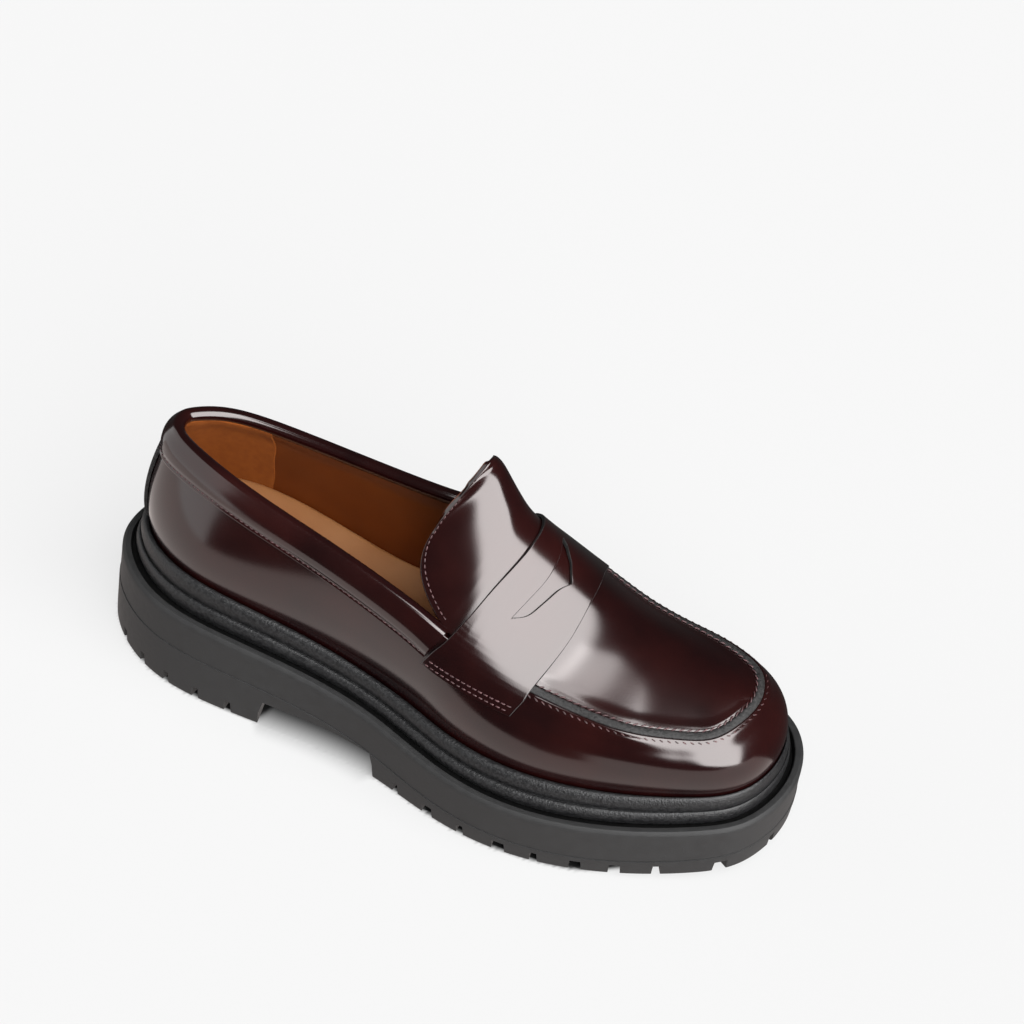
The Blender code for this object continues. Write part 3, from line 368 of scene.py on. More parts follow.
def shell_quads(rows, columns, wrap=False):
    """Quads of outer grid, inner grid and the strips between, and which of them are strips."""
    half = rows * columns
    outer = quads_of(rows, columns, 0, wrap)
    inner = quads_of(rows, columns, half, wrap)[:, ::-1]
    i = np.arange(rows if wrap else rows - 1)
    k = (i + 1) % rows
    strips = []
    for j, order in ((0, 1), (columns - 1, -1)):
        a, b = i * columns + j, k * columns + j
        strips.append(np.stack([a, a + half, b + half, b], -1)[:, ::order])
    if not wrap:
        j = np.arange(columns - 1)
        for first, order in ((0, -1), (rows - 1, 1)):
            a = first * columns + j
            strips.append(np.stack([a, a + half, a + half + 1, a + 1], -1)[:, ::order])
    strips = np.vstack(strips)
    kind = np.r_[np.zeros(len(outer), int), np.ones(len(inner), int), np.full(len(strips), 2)]
    return np.vstack([outer, inner, strips]), kind


def mesh_object(name, points, faces, materials=(), which=None, merge=False):
    """Object with its faces turned outward; which picks a material per face, merge joins doubles."""
    mesh = bpy.data.meshes.new(name)
    mesh.from_pydata(place(points), [], faces)
    for material in materials:
        mesh.materials.append(material)
    if which is not None:
        mesh.polygons.foreach_set("material_index", np.asarray(which, np.int32))
    work = bmesh.new()
    work.from_mesh(mesh)
    if merge:
        bmesh.ops.remove_doubles(work, verts=work.verts, dist=2e-6)
        bmesh.ops.dissolve_degenerate(work, edges=work.edges, dist=1e-7)
    bmesh.ops.recalc_face_normals(work, faces=work.faces)
    work.to_mesh(mesh)
    work.free()
    obj = bpy.data.objects.new(name, mesh)
    bpy.context.scene.collection.objects.link(obj)
    return obj


def finish_piece(obj, sharp):
    """Smooth shading with edges sharper than an angle kept; the piece rides on the shoe."""
    obj.data.shade_smooth()
    obj.data.set_sharp_from_angle(angle=np.radians(sharp))
    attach(obj, "root")
    print(f"{obj.name}: {len(obj.data.polygons)} faces")
    return obj


def make_piece(name, points, quads, materials, which=None, sharp=50.0):
    """A finished piece from points and quads."""
    return finish_piece(mesh_object(name, points, quads.tolist(), materials, which, True), sharp)


def edged(count, length, steps=(0.0, 0.05, 0.12, 0.22, 0.36, 0.6)):
    """Places from 0 to 1 along a given length in mm, close together near both ends."""
    near = np.array(steps) / length
    middle = np.linspace(near[-1], 1 - near[-1], count)
    return np.r_[near[:-1], middle, 1 - near[-2::-1]]


def edge_distance(points, sides=(True, True, True, True)):
    """Distance of every grid point from the nearest border, along the grid lines."""
    far = np.full(points.shape[:2], 1e3)
    for axis, first, last in ((0, sides[0], sides[1]), (1, sides[2], sides[3])):
        run = np.cumsum(np.linalg.norm(np.diff(points, axis=axis), axis=-1), axis=axis)
        zero = np.zeros_like(np.take(run, [0], axis=axis))
        run = np.concatenate([zero, run], axis=axis)
        if first:
            far = np.minimum(far, run)
        if last:
            far = np.minimum(far, np.take(run, [-1], axis=axis) - run)
    return far


def nearest_on(line, points):
    """Distance of each point from the nearest point of a line, and the number of that one."""
    squares = (points ** 2).sum(1)[:, None] + (line ** 2).sum(1)[None] - 2 * points @ line.T
    return np.sqrt(np.clip(squares.min(axis=1), 0, None)), squares.argmin(axis=1)


def cut_height(distance, thickness, radius=0.35):
    """Height of a leather sheet at a distance from its cut edge: a quarter circle, then flat."""
    inside = np.clip(radius - distance, 0, radius)
    return thickness - radius + np.sqrt(radius ** 2 - inside ** 2)


# %% [markdown]
# ## Finishes
# Effects that several materials share are node groups with named inputs and outputs. The
# grain group gives a height for a Bump node: fine pores, and a slow wave of the hide under
# them. The mottle group gives a mask for colour that changes a little over the surface.

# %% Node groups


def new_group(name, inputs, outputs):
    """Shader node group with named float sockets; returns group, input node, output node."""
    group = bpy.data.node_groups.new(name, "ShaderNodeTree")
    for label, value in inputs:
        socket = group.interface.new_socket(label, in_out="INPUT", socket_type="NodeSocketFloat")
        socket.default_value = value
    for label in outputs:
        group.interface.new_socket(label, in_out="OUTPUT", socket_type="NodeSocketFloat")
    return group, group.nodes.new("NodeGroupInput"), group.nodes.new("NodeGroupOutput")


def maths(tree, operation, first, second):
    """A Math node whose inputs are sockets or numbers; returns its output."""
    node = tree.nodes.new("ShaderNodeMath")
    node.operation = operation
    for socket, value in zip(node.inputs, (first, second)):
        if isinstance(value, (int, float)):
            socket.default_value = value
        else:
            tree.links.new(value, socket)
    return node.outputs[0]


def noise(tree, scale, detail=2.0, rough=0.5, kind="ShaderNodeTexNoise"):
    """Texture on Object coordinates with the given scale; returns the node."""
    coordinates = tree.nodes.new("ShaderNodeTexCoord")
    node = tree.nodes.new(kind)
    tree.links.new(coordinates.outputs["Object"], node.inputs["Vector"])
    if isinstance(scale, (int, float)):
        node.inputs["Scale"].default_value = scale
    else:
        tree.links.new(scale, node.inputs["Scale"])
    if kind == "ShaderNodeTexNoise":
        node.inputs["Detail"].default_value = detail
        node.inputs["Roughness"].default_value = rough
    return node


def build_grain():
    """Height = pores (cells) x Pores + slow wave (noise) x Wave."""
    group, given, out = new_group("hide_grain", (("Pore Scale", 1400.0), ("Pores", 1.0),
                                                 ("Wave Scale", 60.0), ("Wave", 1.0)), ("Height",))
    cells = noise(group, given.outputs["Pore Scale"], kind="ShaderNodeTexVoronoi")
    pores = maths(group, "MULTIPLY", cells.outputs["Distance"], given.outputs["Pores"])
    slow = noise(group, given.outputs["Wave Scale"], 2.0, 0.45)
    wave = maths(group, "MULTIPLY", slow.outputs[0], given.outputs["Wave"])
    group.links.new(maths(group, "ADD", pores, wave), out.inputs["Height"])
    return group


def build_mottle():
    """Mask = noise squeezed between Low and High."""
    group, given, out = new_group("mottle", (("Scale", 30.0), ("Low", 0.4), ("High", 0.6)), ("Mask",))
    spots = noise(group, given.outputs["Scale"], 4.0, 0.55)
    above = maths(group, "SUBTRACT", spots.outputs[0], given.outputs["Low"])
    span = maths(group, "SUBTRACT", given.outputs["High"], given.outputs["Low"])
    share_up = maths(group, "DIVIDE", above, span)
    clipped = maths(group, "MINIMUM", maths(group, "MAXIMUM", share_up, 0.0), 1.0)
    group.links.new(clipped, out.inputs["Mask"])
    return group


GRAIN = build_grain()
MOTTLE = build_mottle()
print("node groups:", GRAIN.name, MOTTLE.name)

# %% One recipe for every material


def add_group(tree, group, **values):
    """Place a node group and set its inputs by name, with spaces written as underscores."""
    node = tree.nodes.new("ShaderNodeGroup")
    node.node_tree = group
    for label, value in values.items():
        node.inputs[label.replace("_", " ")].default_value = value
    return node


def make_material(name, dark, light, roughness, rough_change=0.0, mottle=(30.0, 0.4, 0.6),
                  grain=(1400.0, 0.3, 60.0, 1.0), depth=0.02, **sockets):
    """Colour between dark and light by mottle, roughness with it, and a grain bump in mm."""
    material = bpy.data.materials.new(name)
    material.use_nodes = True
    tree = material.node_tree
    shader = tree.nodes["Principled BSDF"]
    mask = add_group(tree, MOTTLE, Scale=mottle[0], Low=mottle[1], High=mottle[2])
    ramp = tree.nodes.new("ShaderNodeValToRGB")
    ramp.color_ramp.elements[0].color = (*dark, 1.0)
    ramp.color_ramp.elements[1].color = (*light, 1.0)
    tree.links.new(mask.outputs["Mask"], ramp.inputs["Fac"])
    tree.links.new(ramp.outputs["Color"], shader.inputs["Base Color"])
    shader.inputs["Roughness"].default_value = roughness
    if rough_change:
        change = maths(tree, "MULTIPLY", mask.outputs["Mask"], rough_change)
        tree.links.new(maths(tree, "ADD", change, roughness), shader.inputs["Roughness"])
    relief = add_group(tree, GRAIN, Pore_Scale=grain[0], Pores=grain[1], Wave_Scale=grain[2],
                       Wave=grain[3])
    bump = tree.nodes.new("ShaderNodeBump")
    bump.inputs["Strength"].default_value = 1.0
    bump.inputs["Distance"].default_value = depth * MM
    tree.links.new(relief.outputs["Height"], bump.inputs["Height"])
    tree.links.new(bump.outputs["Normal"], shader.inputs["Normal"])
    for label, value in sockets.items():
        shader.inputs[label.replace("_", " ")].default_value = value
    return material


# colours dark and light, roughness and its change, mottle (scale, low, high), grain (pore
# scale, pores, wave scale, wave), its depth in mm, and constants of the shader
OXBLOOD = make_material("polished_oxblood", (0.0042, 0.0009, 0.0010), (0.0110, 0.0018, 0.0016), 0.125, 0.04,
                        (26.0, 0.35, 0.7), (1500.0, 0.25, 55.0, 1.0), 0.012, IOR=1.6,
                        Specular_Tint=(1.0, 0.94, 0.93, 1.0))
CUT_EDGE = make_material("inked_cut_edge", (0.0045, 0.0042, 0.0042), (0.020, 0.019, 0.019), 0.62, 0.1,
                         (900.0, 0.35, 0.65), (1800.0, 1.0, 500.0, 1.5), 0.12, Specular_IOR_Level=0.3)
TAN_LINING = make_material("tan_lining", (0.068, 0.0125, 0.0012), (0.100, 0.021, 0.0022), 0.36, 0.1,
                           (24.0, 0.35, 0.65), (1500.0, 0.5, 90.0, 1.0), 0.03, Specular_IOR_Level=0.3)
SUEDE = make_material("suede_grip", (0.140, 0.033, 0.0025), (0.175, 0.045, 0.005), 0.85, 0.05,
                      (400.0, 0.3, 0.7), (2200.0, 0.6, 300.0, 1.0), 0.03, Specular_IOR_Level=0.2)
SOCK = make_material("tan_sock", (0.185, 0.073, 0.023), (0.215, 0.092, 0.032), 0.45, 0.08,
                     (40.0, 0.3, 0.7), (1500.0, 0.4, 120.0, 1.0), 0.03)
RUBBER = make_material("charcoal_rubber", (0.0095, 0.0095, 0.0097), (0.0135, 0.0135, 0.0137), 0.60, 0.08,
                       (300.0, 0.3, 0.7), (2600.0, 0.6, 700.0, 0.8), 0.03, Specular_IOR_Level=0.28)
# near-black copy of the rubber: painted shade inside the narrow groove beside the welt
GROOVE_SHADE_RUBBER = make_material("groove_rubber_painted_shade", (0.002, 0.002, 0.002), (0.004, 0.004, 0.004), 0.75, 0.1,
                            (300.0, 0.3, 0.7), (2600.0, 0.6, 700.0, 0.8), 0.02, Specular_IOR_Level=0.05)
PEBBLED = make_material("pebbled_welt_rubber", (0.0042, 0.0042, 0.0046), (0.010, 0.010, 0.0105), 0.40, 0.1,
                        (900.0, 0.4, 0.6), (1500.0, 1.0, 900.0, 0.7), 0.12, Specular_IOR_Level=0.32)
THREAD = make_material("burgundy_thread", (0.018, 0.005, 0.006), (0.062, 0.023, 0.025), 0.5, 0.1,
                       (700.0, 0.35, 0.65), (3000.0, 0.6, 900.0, 1.0), 0.05)
# darker copy of the thread: painted shade on the stitches below the raised toe seam
THREAD_IN_SHADE = make_material("thread_painted_shade", (0.012, 0.004, 0.0045), (0.050, 0.017, 0.018), 0.45, 0.1,
                            (700.0, 0.4, 0.6), (3000.0, 0.6, 900.0, 1.0), 0.05)
print("materials:", len(bpy.data.materials))

# %% [markdown]
# ## The upper
# The upper is one wall of polished leather from the welt to the collar and to the seam of
# the plug. Next to that seam the leather is drawn up into a low ridge by the thread, and
# where the foot will bend it has a few shallow waves.

# %% Upper leather
UPPER_LEATHER = 1.4     # thickness of the outer leather; the lining makes up the rest
SEAM_WIDTH = 2.8        # cut edge that shows between upper and plug
SEAM_STITCH = 1.5       # outer stitches stand this far below the seam
VAMP_WAVES = (          # row, share of height, length and width in rows and share, turn, depth
    (10.3, 0.55, 0.9, 0.10, 0.06, 0.16), (11.1, 0.45, 1.0, 0.09, -0.05, -0.13),
    (9.3, 0.72, 0.7, 0.08, 0.10, 0.14), (21.6, 0.55, 0.9, 0.10, -0.06, 0.16),
    (22.5, 0.68, 0.8, 0.08, 0.05, -0.12), (6.3, 0.30, 1.2, 0.10, 0.03, 0.12),
)


def vamp_waves(u, v):
    """Sum of long shallow bells: depth times exp of minus the two squared distances."""
    total = 0.0
    for row, level, long, wide, turn, depth in VAMP_WAVES:
        a = (u - row) / long
        b = (v - level - turn * (u - row)) / wide
        total = total + depth * np.exp(-a * a - b * b)
    return total


def seam_share(u):
    """1 along the seam of the plug, 0 under the strap and at the collar."""
    return smooth_step(u, THROAT_LATERAL + 1.75, THROAT_LATERAL + 2.1) * smooth_step(
        -np.asarray(u, float), -THROAT_MEDIAL + 1.6, -THROAT_MEDIAL + 1.95)


def groove(distance, width=0.55, depth=0.22):
    """Dip along a row of stitches: minus a bell curve of the distance from the row."""
    return -depth * np.exp(-(distance / width) ** 2)


def build_upper():
    """Outer grid with seam ridge, groove and waves, and an inner grid one leather below."""
    u = np.arange(ROW_COUNT * 22) / 22.0
    v = np.r_[0.0, np.linspace(0.03, 0.80, 26), np.linspace(0.815, 1.0, 30)]
    base = wall_point(u[:, None], v[None, :])
    normal = grid_normals(np.concatenate([base[-1:], base, base[:1]]))[1:-1]
    run = np.cumsum(np.linalg.norm(np.diff(base[:, ::-1], axis=1), axis=-1), axis=1)
    below = np.concatenate([run[:, ::-1], np.zeros((len(u), 1))], 1)
    seam = seam_share(u)[:, None]
    lift = seam * (SEAM_STEP * (1 - smooth_step(below, 0.4, 6.5)) + groove(below - SEAM_STITCH, 0.5, 0.10))
    lift = lift + vamp_waves(u[:, None], v[None, :]) * smooth_step(below, 2.0, 6.0)
    inside = np.clip(0.45 - below, 0, 0.45)
    lift = lift + np.sqrt(0.45 ** 2 - inside ** 2) - 0.45
    outer = base + normal * lift[..., None]
    foot = outer[:, :1] - np.array([0.0, 0.0, PLATFORM_DROP - GAP])
    inner = base - normal * UPPER_LEATHER
    foot_inner = inner[:, :1] - np.array([0.0, 0.0, PLATFORM_DROP - GAP])
    outer = np.concatenate([foot, outer], 1)
    inner = np.concatenate([foot_inner, inner], 1)
    quads = shell_quads(*outer.shape[:2], True)[0]
    points = np.concatenate([outer.reshape(-1, 3), inner.reshape(-1, 3)])
    return make_piece("upper_leather", points, quads, [OXBLOOD])


upper = build_upper()
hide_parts("upper")

# %% [markdown]
# ## Lining, heel grip and sock
# Tan leather lines the shoe. Round the heel a rougher suede grip is sewn on, with its edge
# standing up a little, and a light sock lies on the insole, its edge tucked to the wall.

# %% Inner leathers


def inner_wall(u, v, inward):
    """Points at a distance inside the outer surface of the wall."""
    return wall_point(u, v) - wall_normal(u, v) * np.asarray(inward)[..., None]


def lining_folds(u, v):
    """Soft folds of the lining: products of slow sines, growing towards the collar."""
    slow = np.sin(u * 2.9 + 4.0 * v) * np.sin(u * 1.7 - 6.0 * v + 0.8)
    return 0.28 * slow * smooth_step(v, 0.2, 0.7)


def build_lining():
    """Closed shell from the insole up to the rolled collar, thickened by padding at its top."""
    u = np.arange(ROW_COUNT * 14) / 14.0
    v = np.linspace(0.0, 0.97, 44)
    uu, vv = np.meshgrid(u, v, indexing="ij")
    at_collar = np.maximum(smooth_step(uu, 23.5, 25.5), 1 - smooth_step(uu, 6.5, 8.5))
    padding = 1.3 * at_collar * smooth_step(vv, 0.72, 0.95)
    outer = inner_wall(uu, vv, UPPER_LEATHER + 0.1)
    inner = inner_wall(uu, vv, WALL + 0.1 + padding + lining_folds(uu, vv))
    quads = shell_quads(*outer.shape[:2], True)[0]
    return make_piece("lining", np.concatenate([inner.reshape(-1, 3), outer.reshape(-1, 3)]), quads,
                      [TAN_LINING])


def leather_sheet(name, base, normal, thickness, materials, radius=0.35, relief=0.0,
                  sides=(True, True, True, True)):
    """Sheet on a base grid; near each cut side its height follows a quarter circle."""
    distance = edge_distance(base, sides)
    height = cut_height(distance, thickness, radius) + relief
    rows, columns = base.shape[:2]
    quads, kind = shell_quads(rows, columns)
    half = rows * columns
    near = distance.ravel()[quads % half].max(axis=1) < 0.3
    which = ((kind == 2) | ((kind == 0) & near)) * (len(materials) - 1)
    points = np.concatenate([(base + normal * height[..., None]).reshape(-1, 3), base.reshape(-1, 3)])
    return make_piece(name, points, quads, materials, which)


GRIP_MEDIAL_ROW = 28.65
GRIP_LATERAL_ROW = 3.35


def build_grip():
    """Suede patch on the lining from the medial seam round the heel to the lateral one."""
    u = GRIP_MEDIAL_ROW + edged(150, 95.0) * (ROW_COUNT + GRIP_LATERAL_ROW - GRIP_MEDIAL_ROW)
    v = np.linspace(0.05, 0.965, 40)
    uu, vv = np.meshgrid(u, v, indexing="ij")
    padding = 1.3 * smooth_step(vv, 0.72, 0.95)
    wave = 0.10 * np.sin(vv * 17.0) * np.exp(-((uu - GRIP_MEDIAL_ROW) / 0.10) ** 2)
    base = inner_wall(uu + wave * 0.12, vv, WALL + 0.15 + padding + lining_folds(uu, vv))
    return leather_sheet("heel_grip", base, -wall_normal(uu, vv), 0.5, [SUEDE],
                         relief=wave, sides=(True, True, False, False))


SOCK_RISE = 5.7         # the sock lies this far above the line where upper and welt meet


def build_sock():
    """Sock on the insole: chords from the lateral to the medial wall, dished in the middle."""
    u = np.r_[0.0, np.linspace(0.12, 15.88, 150), 16.0]
    t = np.linspace(-1.0, 1.0, 61)
    sides = []
    for rows in (u, ROW_COUNT - u):
        foot = wall_rows(rows)[:, :3]
        level = SOCK_RISE / np.maximum(wall_rows(rows)[:, 5] - foot[:, 2], 1.0)
        sides.append(inner_wall(rows, level * 0.9, np.full(len(rows), WALL + 0.45)))
        sides[-1][:, 2] = foot[:, 2] + SOCK_RISE
    near = (1 - t[None, :, None]) / 2
    top = sides[0][:, None] * near + sides[1][:, None] * (1 - near)
    width = np.linalg.norm(sides[1] - sides[0], axis=1)[:, None]
    border = (1 - np.abs(t))[None, :] * width / 2
    top[..., 2] += 1.0 * (1 - smooth_step(border, 0.0, 14.0)) - 0.8 * (1 - smooth_step(border, 0.0, 0.9))
    low = top.copy()
    low[..., 2] = np.minimum(top[..., 2] - 1.2, top[:, 30:31, 2] - 1.2)
    quads = shell_quads(*top.shape[:2])[0]
    return make_piece("sock", np.concatenate([top.reshape(-1, 3), low.reshape(-1, 3)]), quads,
                      [SOCK])


build_lining()
build_grip()
sock = build_sock()
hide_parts("insole")

# %% [markdown]
# ## Collar band
# A strip of leather is folded over the padded top of the collar. Its profile is a flat
# piece on the wall, a round roll over the top, and a short tuck on the inside. The profile
# is a curve through a few points, carried round the collar.

# %% Collar band and its roll
ROLL_OUT = 2.7          # half width and half height of the roll
ROLL_UP = 2.5
STRAP_GAPS = np.array([0.04, 0.05, 0.09])   # rows left free beside the strap


def band_section(turn):
    """Row numbers and start heights of the band at places 0 to 1 round the collar."""
    table = np.array(BAND_ROWS)
    strap = np.array(STRAP_ROWS)
    share_up = np.array([0.0, 0.5, 1.0])
    v0 = table[0, 1] * (1 - share_up) + share_up
    lateral = np.interp(v0 - 2, strap[:5, 0], strap[:5, 1])
    medial = np.interp(2 - v0, strap[-4:, 0], strap[-4:, 1])
    start = THROAT_MEDIAL - medial + STRAP_GAPS
    end = ROW_COUNT + THROAT_LATERAL + lateral - STRAP_GAPS
    u = start[None, :] * (1 - turn[:, None]) + end[None, :] * turn[:, None]
    return u, spline(table[:, 0], table[:, 1], u[:, 0])


BAND_PATH = (           # share of the height from lower edge to collar, distance from the wall
    (0.000, 0.45), (0.008, 0.85), (0.025, 1.15), (0.055, 1.28), (0.12, 1.12), (0.17, 1.25),
    (0.26, 1.75), (0.40, 2.15), (0.55, 2.35),
)
ROLL_ANGLES = (30, 52, 74, 96, 118, 140, 162, 184, 205)


def build_band():
    """Closed loop per section: lower edge, wall part, roll, tuck, and back through the middle."""
    turn = np.r_[0.0, np.linspace(0.0, 1.0, 420), 1.0]
    u3, low = band_section(turn)
    columns = []
    for share_up, away in BAND_PATH:
        u = u3[:, 0] * (1 - share_up) + u3[:, 2] * share_up
        v = low + (1 - low) * share_up
        columns.append(wall_point(u, v) + wall_normal(u, v) * (GAP + away))
    u = u3[:, 2]
    out = wall_outward(u)
    centre = wall_point(u, 1.0) - out * 1.1 - UP * 1.2
    for angle in np.radians(ROLL_ANGLES):
        columns.append(centre + (out * ROLL_OUT * np.cos(angle) + UP * ROLL_UP * np.sin(angle)))
    columns.append(inner_wall(u, np.full(len(u), 0.90), np.full(len(u), WALL + 1.0)))
    outer = np.stack(columns, 0)
    knots = np.r_[0, np.cumsum(np.linalg.norm(np.diff(outer, axis=0), axis=-1).mean(axis=1))]
    at = np.unique(np.r_[knots, np.linspace(0, knots[-1], 70)])
    count, sections = outer.shape[:2]
    fine = spline(knots, outer.reshape(count, -1), at).reshape(len(at), sections, 3)
    start = wall_point(u3[:, 0], low) + wall_normal(u3[:, 0], low) * GAP
    back = np.stack([centre - UP * 4.0, start], 0)
    loop = np.concatenate([fine, back, fine[:1]], 0).transpose(1, 0, 2)
    loop[0] = loop[0].mean(axis=0)
    loop[-1] = loop[-1].mean(axis=0)
    return make_piece("collar_leather", loop.reshape(-1, 3), quads_of(*loop.shape[:2]), [OXBLOOD])


band = build_band()
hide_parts("collar_band")

# %% [markdown]
# ## Backstay
# A narrow strip covers the seam up the back of the heel. It is a plain sheet with cut edges
# that lies on the wall and disappears under the collar band.

# %% Backstay


def build_backstay():
    """Sheet over a few rows each side of the heel's middle."""
    turn = 2 * edged(40, 22.0) - 1
    v = np.linspace(0.0, 0.76, 60)
    uu, vv = np.meshgrid(ROW_COUNT + turn * BACKSTAY_HALF_WIDTH, v, indexing="ij")
    normal = wall_normal(uu, vv)
    return leather_sheet("backstay_leather", wall_point(uu, vv) + normal * GAP, normal, BAND_THICKNESS,
                         [OXBLOOD, CUT_EDGE], sides=(True, True, False, False))


backstay = build_backstay()
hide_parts("backstay")

# %% [markdown]
# ## Plug and tongue
# The plug fills the top of the toe and runs back under the strap as the tongue. Its border
# keeps an even distance from the seam of the upper, where the cut edge shows. We find that
# border by measuring how far each point of the plug is from the seam.

# %% Border of the plug
SEAM_ROWS = np.linspace(THROAT_LATERAL, THROAT_MEDIAL, 700)
SEAM_LINE = wall_point(SEAM_ROWS, 1.0)


def border_share(station, side):
    """Largest q on one side whose distance from the seam is still the seam's width."""
    q = np.linspace(0, 1, 121)
    points = plug_point(station[:, None], side * q[None, :]).reshape(-1, 3)
    far = nearest_on(SEAM_LINE, points)[0].reshape(len(station), -1)
    inside = far > SEAM_WIDTH
    last = np.maximum(inside.cumprod(axis=1).sum(axis=1) - 1, 0)
    row = np.arange(len(station))
    after = np.minimum(last + 1, 120)
    slope = (far[row, last] - SEAM_WIDTH) / np.maximum(far[row, last] - far[row, after], 1e-6)
    return np.where(inside[:, 0], q[last] + np.clip(slope, 0, 1) / 120, 0.0)


def plug_limits(station):
    """Lateral and medial limits of the plug: full width under the strap, narrower ahead."""
    width = np.linalg.norm(plug_point(station, 1.0) - plug_point(station, -1.0), axis=-1)
    full = 1 - 2 * (GAP + 0.15) / np.maximum(width, 2.0)
    ahead = smooth_step(station, 1.25, 1.6)
    return [full * (1 - ahead) + border_share(station, side) * ahead for side in (-1.0, 1.0)]


ridge_line = plug_point(np.linspace(6.5, 8.0, 301), 0.0)
gap_to_tip = np.linalg.norm(ridge_line[:, None] - SEAM_LINE[None], axis=-1).min(axis=1)
PLUG_END = float(np.interp(-SEAM_WIDTH, -gap_to_tip, np.linspace(6.5, 8.0, 301)))
print("plug leather ends at station", round(PLUG_END, 2))

# %% Plug leather
PLUG_THICKNESS = 2.0
TONGUE_END = -4.6       # station of the tongue's top corner
TONGUE_STITCH = 1.9     # stitches of the tongue, inside its cut edge
PLUG_STITCH = 1.0       # inner stitches of the toe seam, inside the plug's border


def toe_stations(count):
    """Stations from 6 to the plug's toe end, ever closer together like the end of a sine."""
    return PLUG_END - (PLUG_END - 6.0) * (1 - np.sin(np.linspace(0, np.pi / 2, count)))


def plug_grid():
    """Stations and q of the plug's grid, close together at its borders and its toe end."""
    back = TONGUE_END + np.r_[0.0, 0.012, 0.03, 0.06, 0.1, 0.16]
    station = np.r_[back, np.linspace(TONGUE_END + 0.24, 5.95, 210), toe_stations(60)]
    lateral, medial = plug_limits(station)
    t = 2 * edged(92, 62.0) - 1
    q = np.where(t[None, :] < 0, -t[None, :] * -lateral[:, None], t[None, :] * medial[:, None])
    return station, q


def plug_normals(top):
    """Grid normals; where the grid closes to a point, the last rows take the one before."""
    normal = grid_normals(top)
    normal[-3:] = normal[-4:-3]
    return normal


def build_plug():
    """Sheet whose base is one thickness under the plug's surface."""
    station, q = plug_grid()
    top = plug_point(station[:, None], q)
    normal = plug_normals(top)
    ahead = smooth_step(station, 1.4, 1.8)[:, None]
    border = edge_distance(top)
    relief = ahead * (0.30 * (1 - smooth_step(border, 0.3, 6.0)) + groove(border - PLUG_STITCH, 0.5, 0.12))
    tongue = (1 - smooth_step(station, -0.6, 0.0))[:, None]
    relief = relief + tongue * groove(border - TONGUE_STITCH, 0.6, 0.2)
    return leather_sheet("plug_leather", top - normal * PLUG_THICKNESS, normal, PLUG_THICKNESS,
                         [OXBLOOD], 0.7, relief)


def build_plug_lining():
    """Tan sheet under plug and tongue, as it shows from behind and inside."""
    station, q = plug_grid()
    top = plug_point(station[::2, None], q[::2, ::2] * 0.985)
    normal = plug_normals(top)
    base = top - normal * (PLUG_THICKNESS + 0.05)
    return leather_sheet("tongue_lining", base, -normal, 0.6, [TAN_LINING], 0.2)


plug = build_plug()
build_plug_lining()
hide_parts("plug_and_tongue")

# %% [markdown]
# ## The raised toe seam
# Between the plug and the upper the thick leather shows its cut edge, inked black and a
# little rough. It is a low rounded bar, carried along the seam from the strap round the
# toe and back, as wide as the space between the two leathers.

# %% Cut edge of the toe seam


def plug_border_line():
    """Border of the plug leather ahead of the strap, lateral side first."""
    station = np.r_[np.linspace(1.4, 6.0, 400), toe_stations(200)]
    lateral, medial = plug_limits(station)
    there = plug_point(station, -lateral)
    back = plug_point(station, medial)[::-1]
    return np.vstack([there, back])


def seam_frame(u):
    """Outer point, way to the plug's border, upward normal and direction along the seam."""
    outer = wall_point(u, 1.0)
    border = plug_border_line()
    inner = border[nearest_on(border, outer)[1]]
    kernel = np.ones(9) / 9
    way = np.stack([np.convolve(np.pad((inner - outer)[:, i], 4, mode="edge"), kernel, "valid")
                    for i in range(3)], -1)
    along = unit(np.gradient(outer, axis=0))
    normal = unit(np.cross(along, way))
    return outer, way, normal * np.sign(normal[:, 2].mean()), along


SEAM_U = np.linspace(THROAT_LATERAL + 1.86, THROAT_MEDIAL - 1.68, 900)
SEAM_OUTER, SEAM_WAY, SEAM_NORMAL, SEAM_ALONG = seam_frame(SEAM_U)


def build_cut_edge():
    """Bar with a rounded top; small slow sines make its surface uneven."""
    profile = ((-0.02, -1.0), (-0.02, 0.55), (0.05, 0.78), (0.18, 0.90), (0.34, 0.93), (0.50, 0.92),
               (0.66, 0.88), (0.82, 0.80), (0.94, 0.64), (1.01, 0.40), (1.03, -1.0))
    columns = []
    n = np.arange(len(SEAM_U))
    for i, (across, height) in enumerate(profile):
        uneven = 0.06 * (0 < i < 10) * np.sin(n * 0.9 + i * 2.1) * np.sin(n * 0.37 + i)
        columns.append(SEAM_OUTER + SEAM_WAY * across + SEAM_NORMAL * (height + uneven)[:, None])
    loop = np.stack(columns + columns[:1], 1)
    loop[0] = loop[0].mean(axis=0)
    loop[-1] = loop[-1].mean(axis=0)
    return make_piece("toe_seam_edge", loop.reshape(-1, 3), quads_of(*loop.shape[:2]), [CUT_EDGE])


build_cut_edge()

# %% [markdown]
# ## Saddle strap
# The strap lies across the instep, with inked cut edges and a two-lobed slot. Its grid is
# split along the slot: where the two sides of the slot part, the strips between outer and
# inner grid make its cut sides, and elsewhere the two halves share their points.

# %% Strap with its slot
STRAP_ENDS = (0.0, len(STRAP_ROWS) - 1.0)   # first and last row of the strap's table
STRAP_INSETS = (2.0, 4.7)                   # rows of stitches, in mm from each end
STRAP_SPACING = 9.4                         # mm between two rows of the table


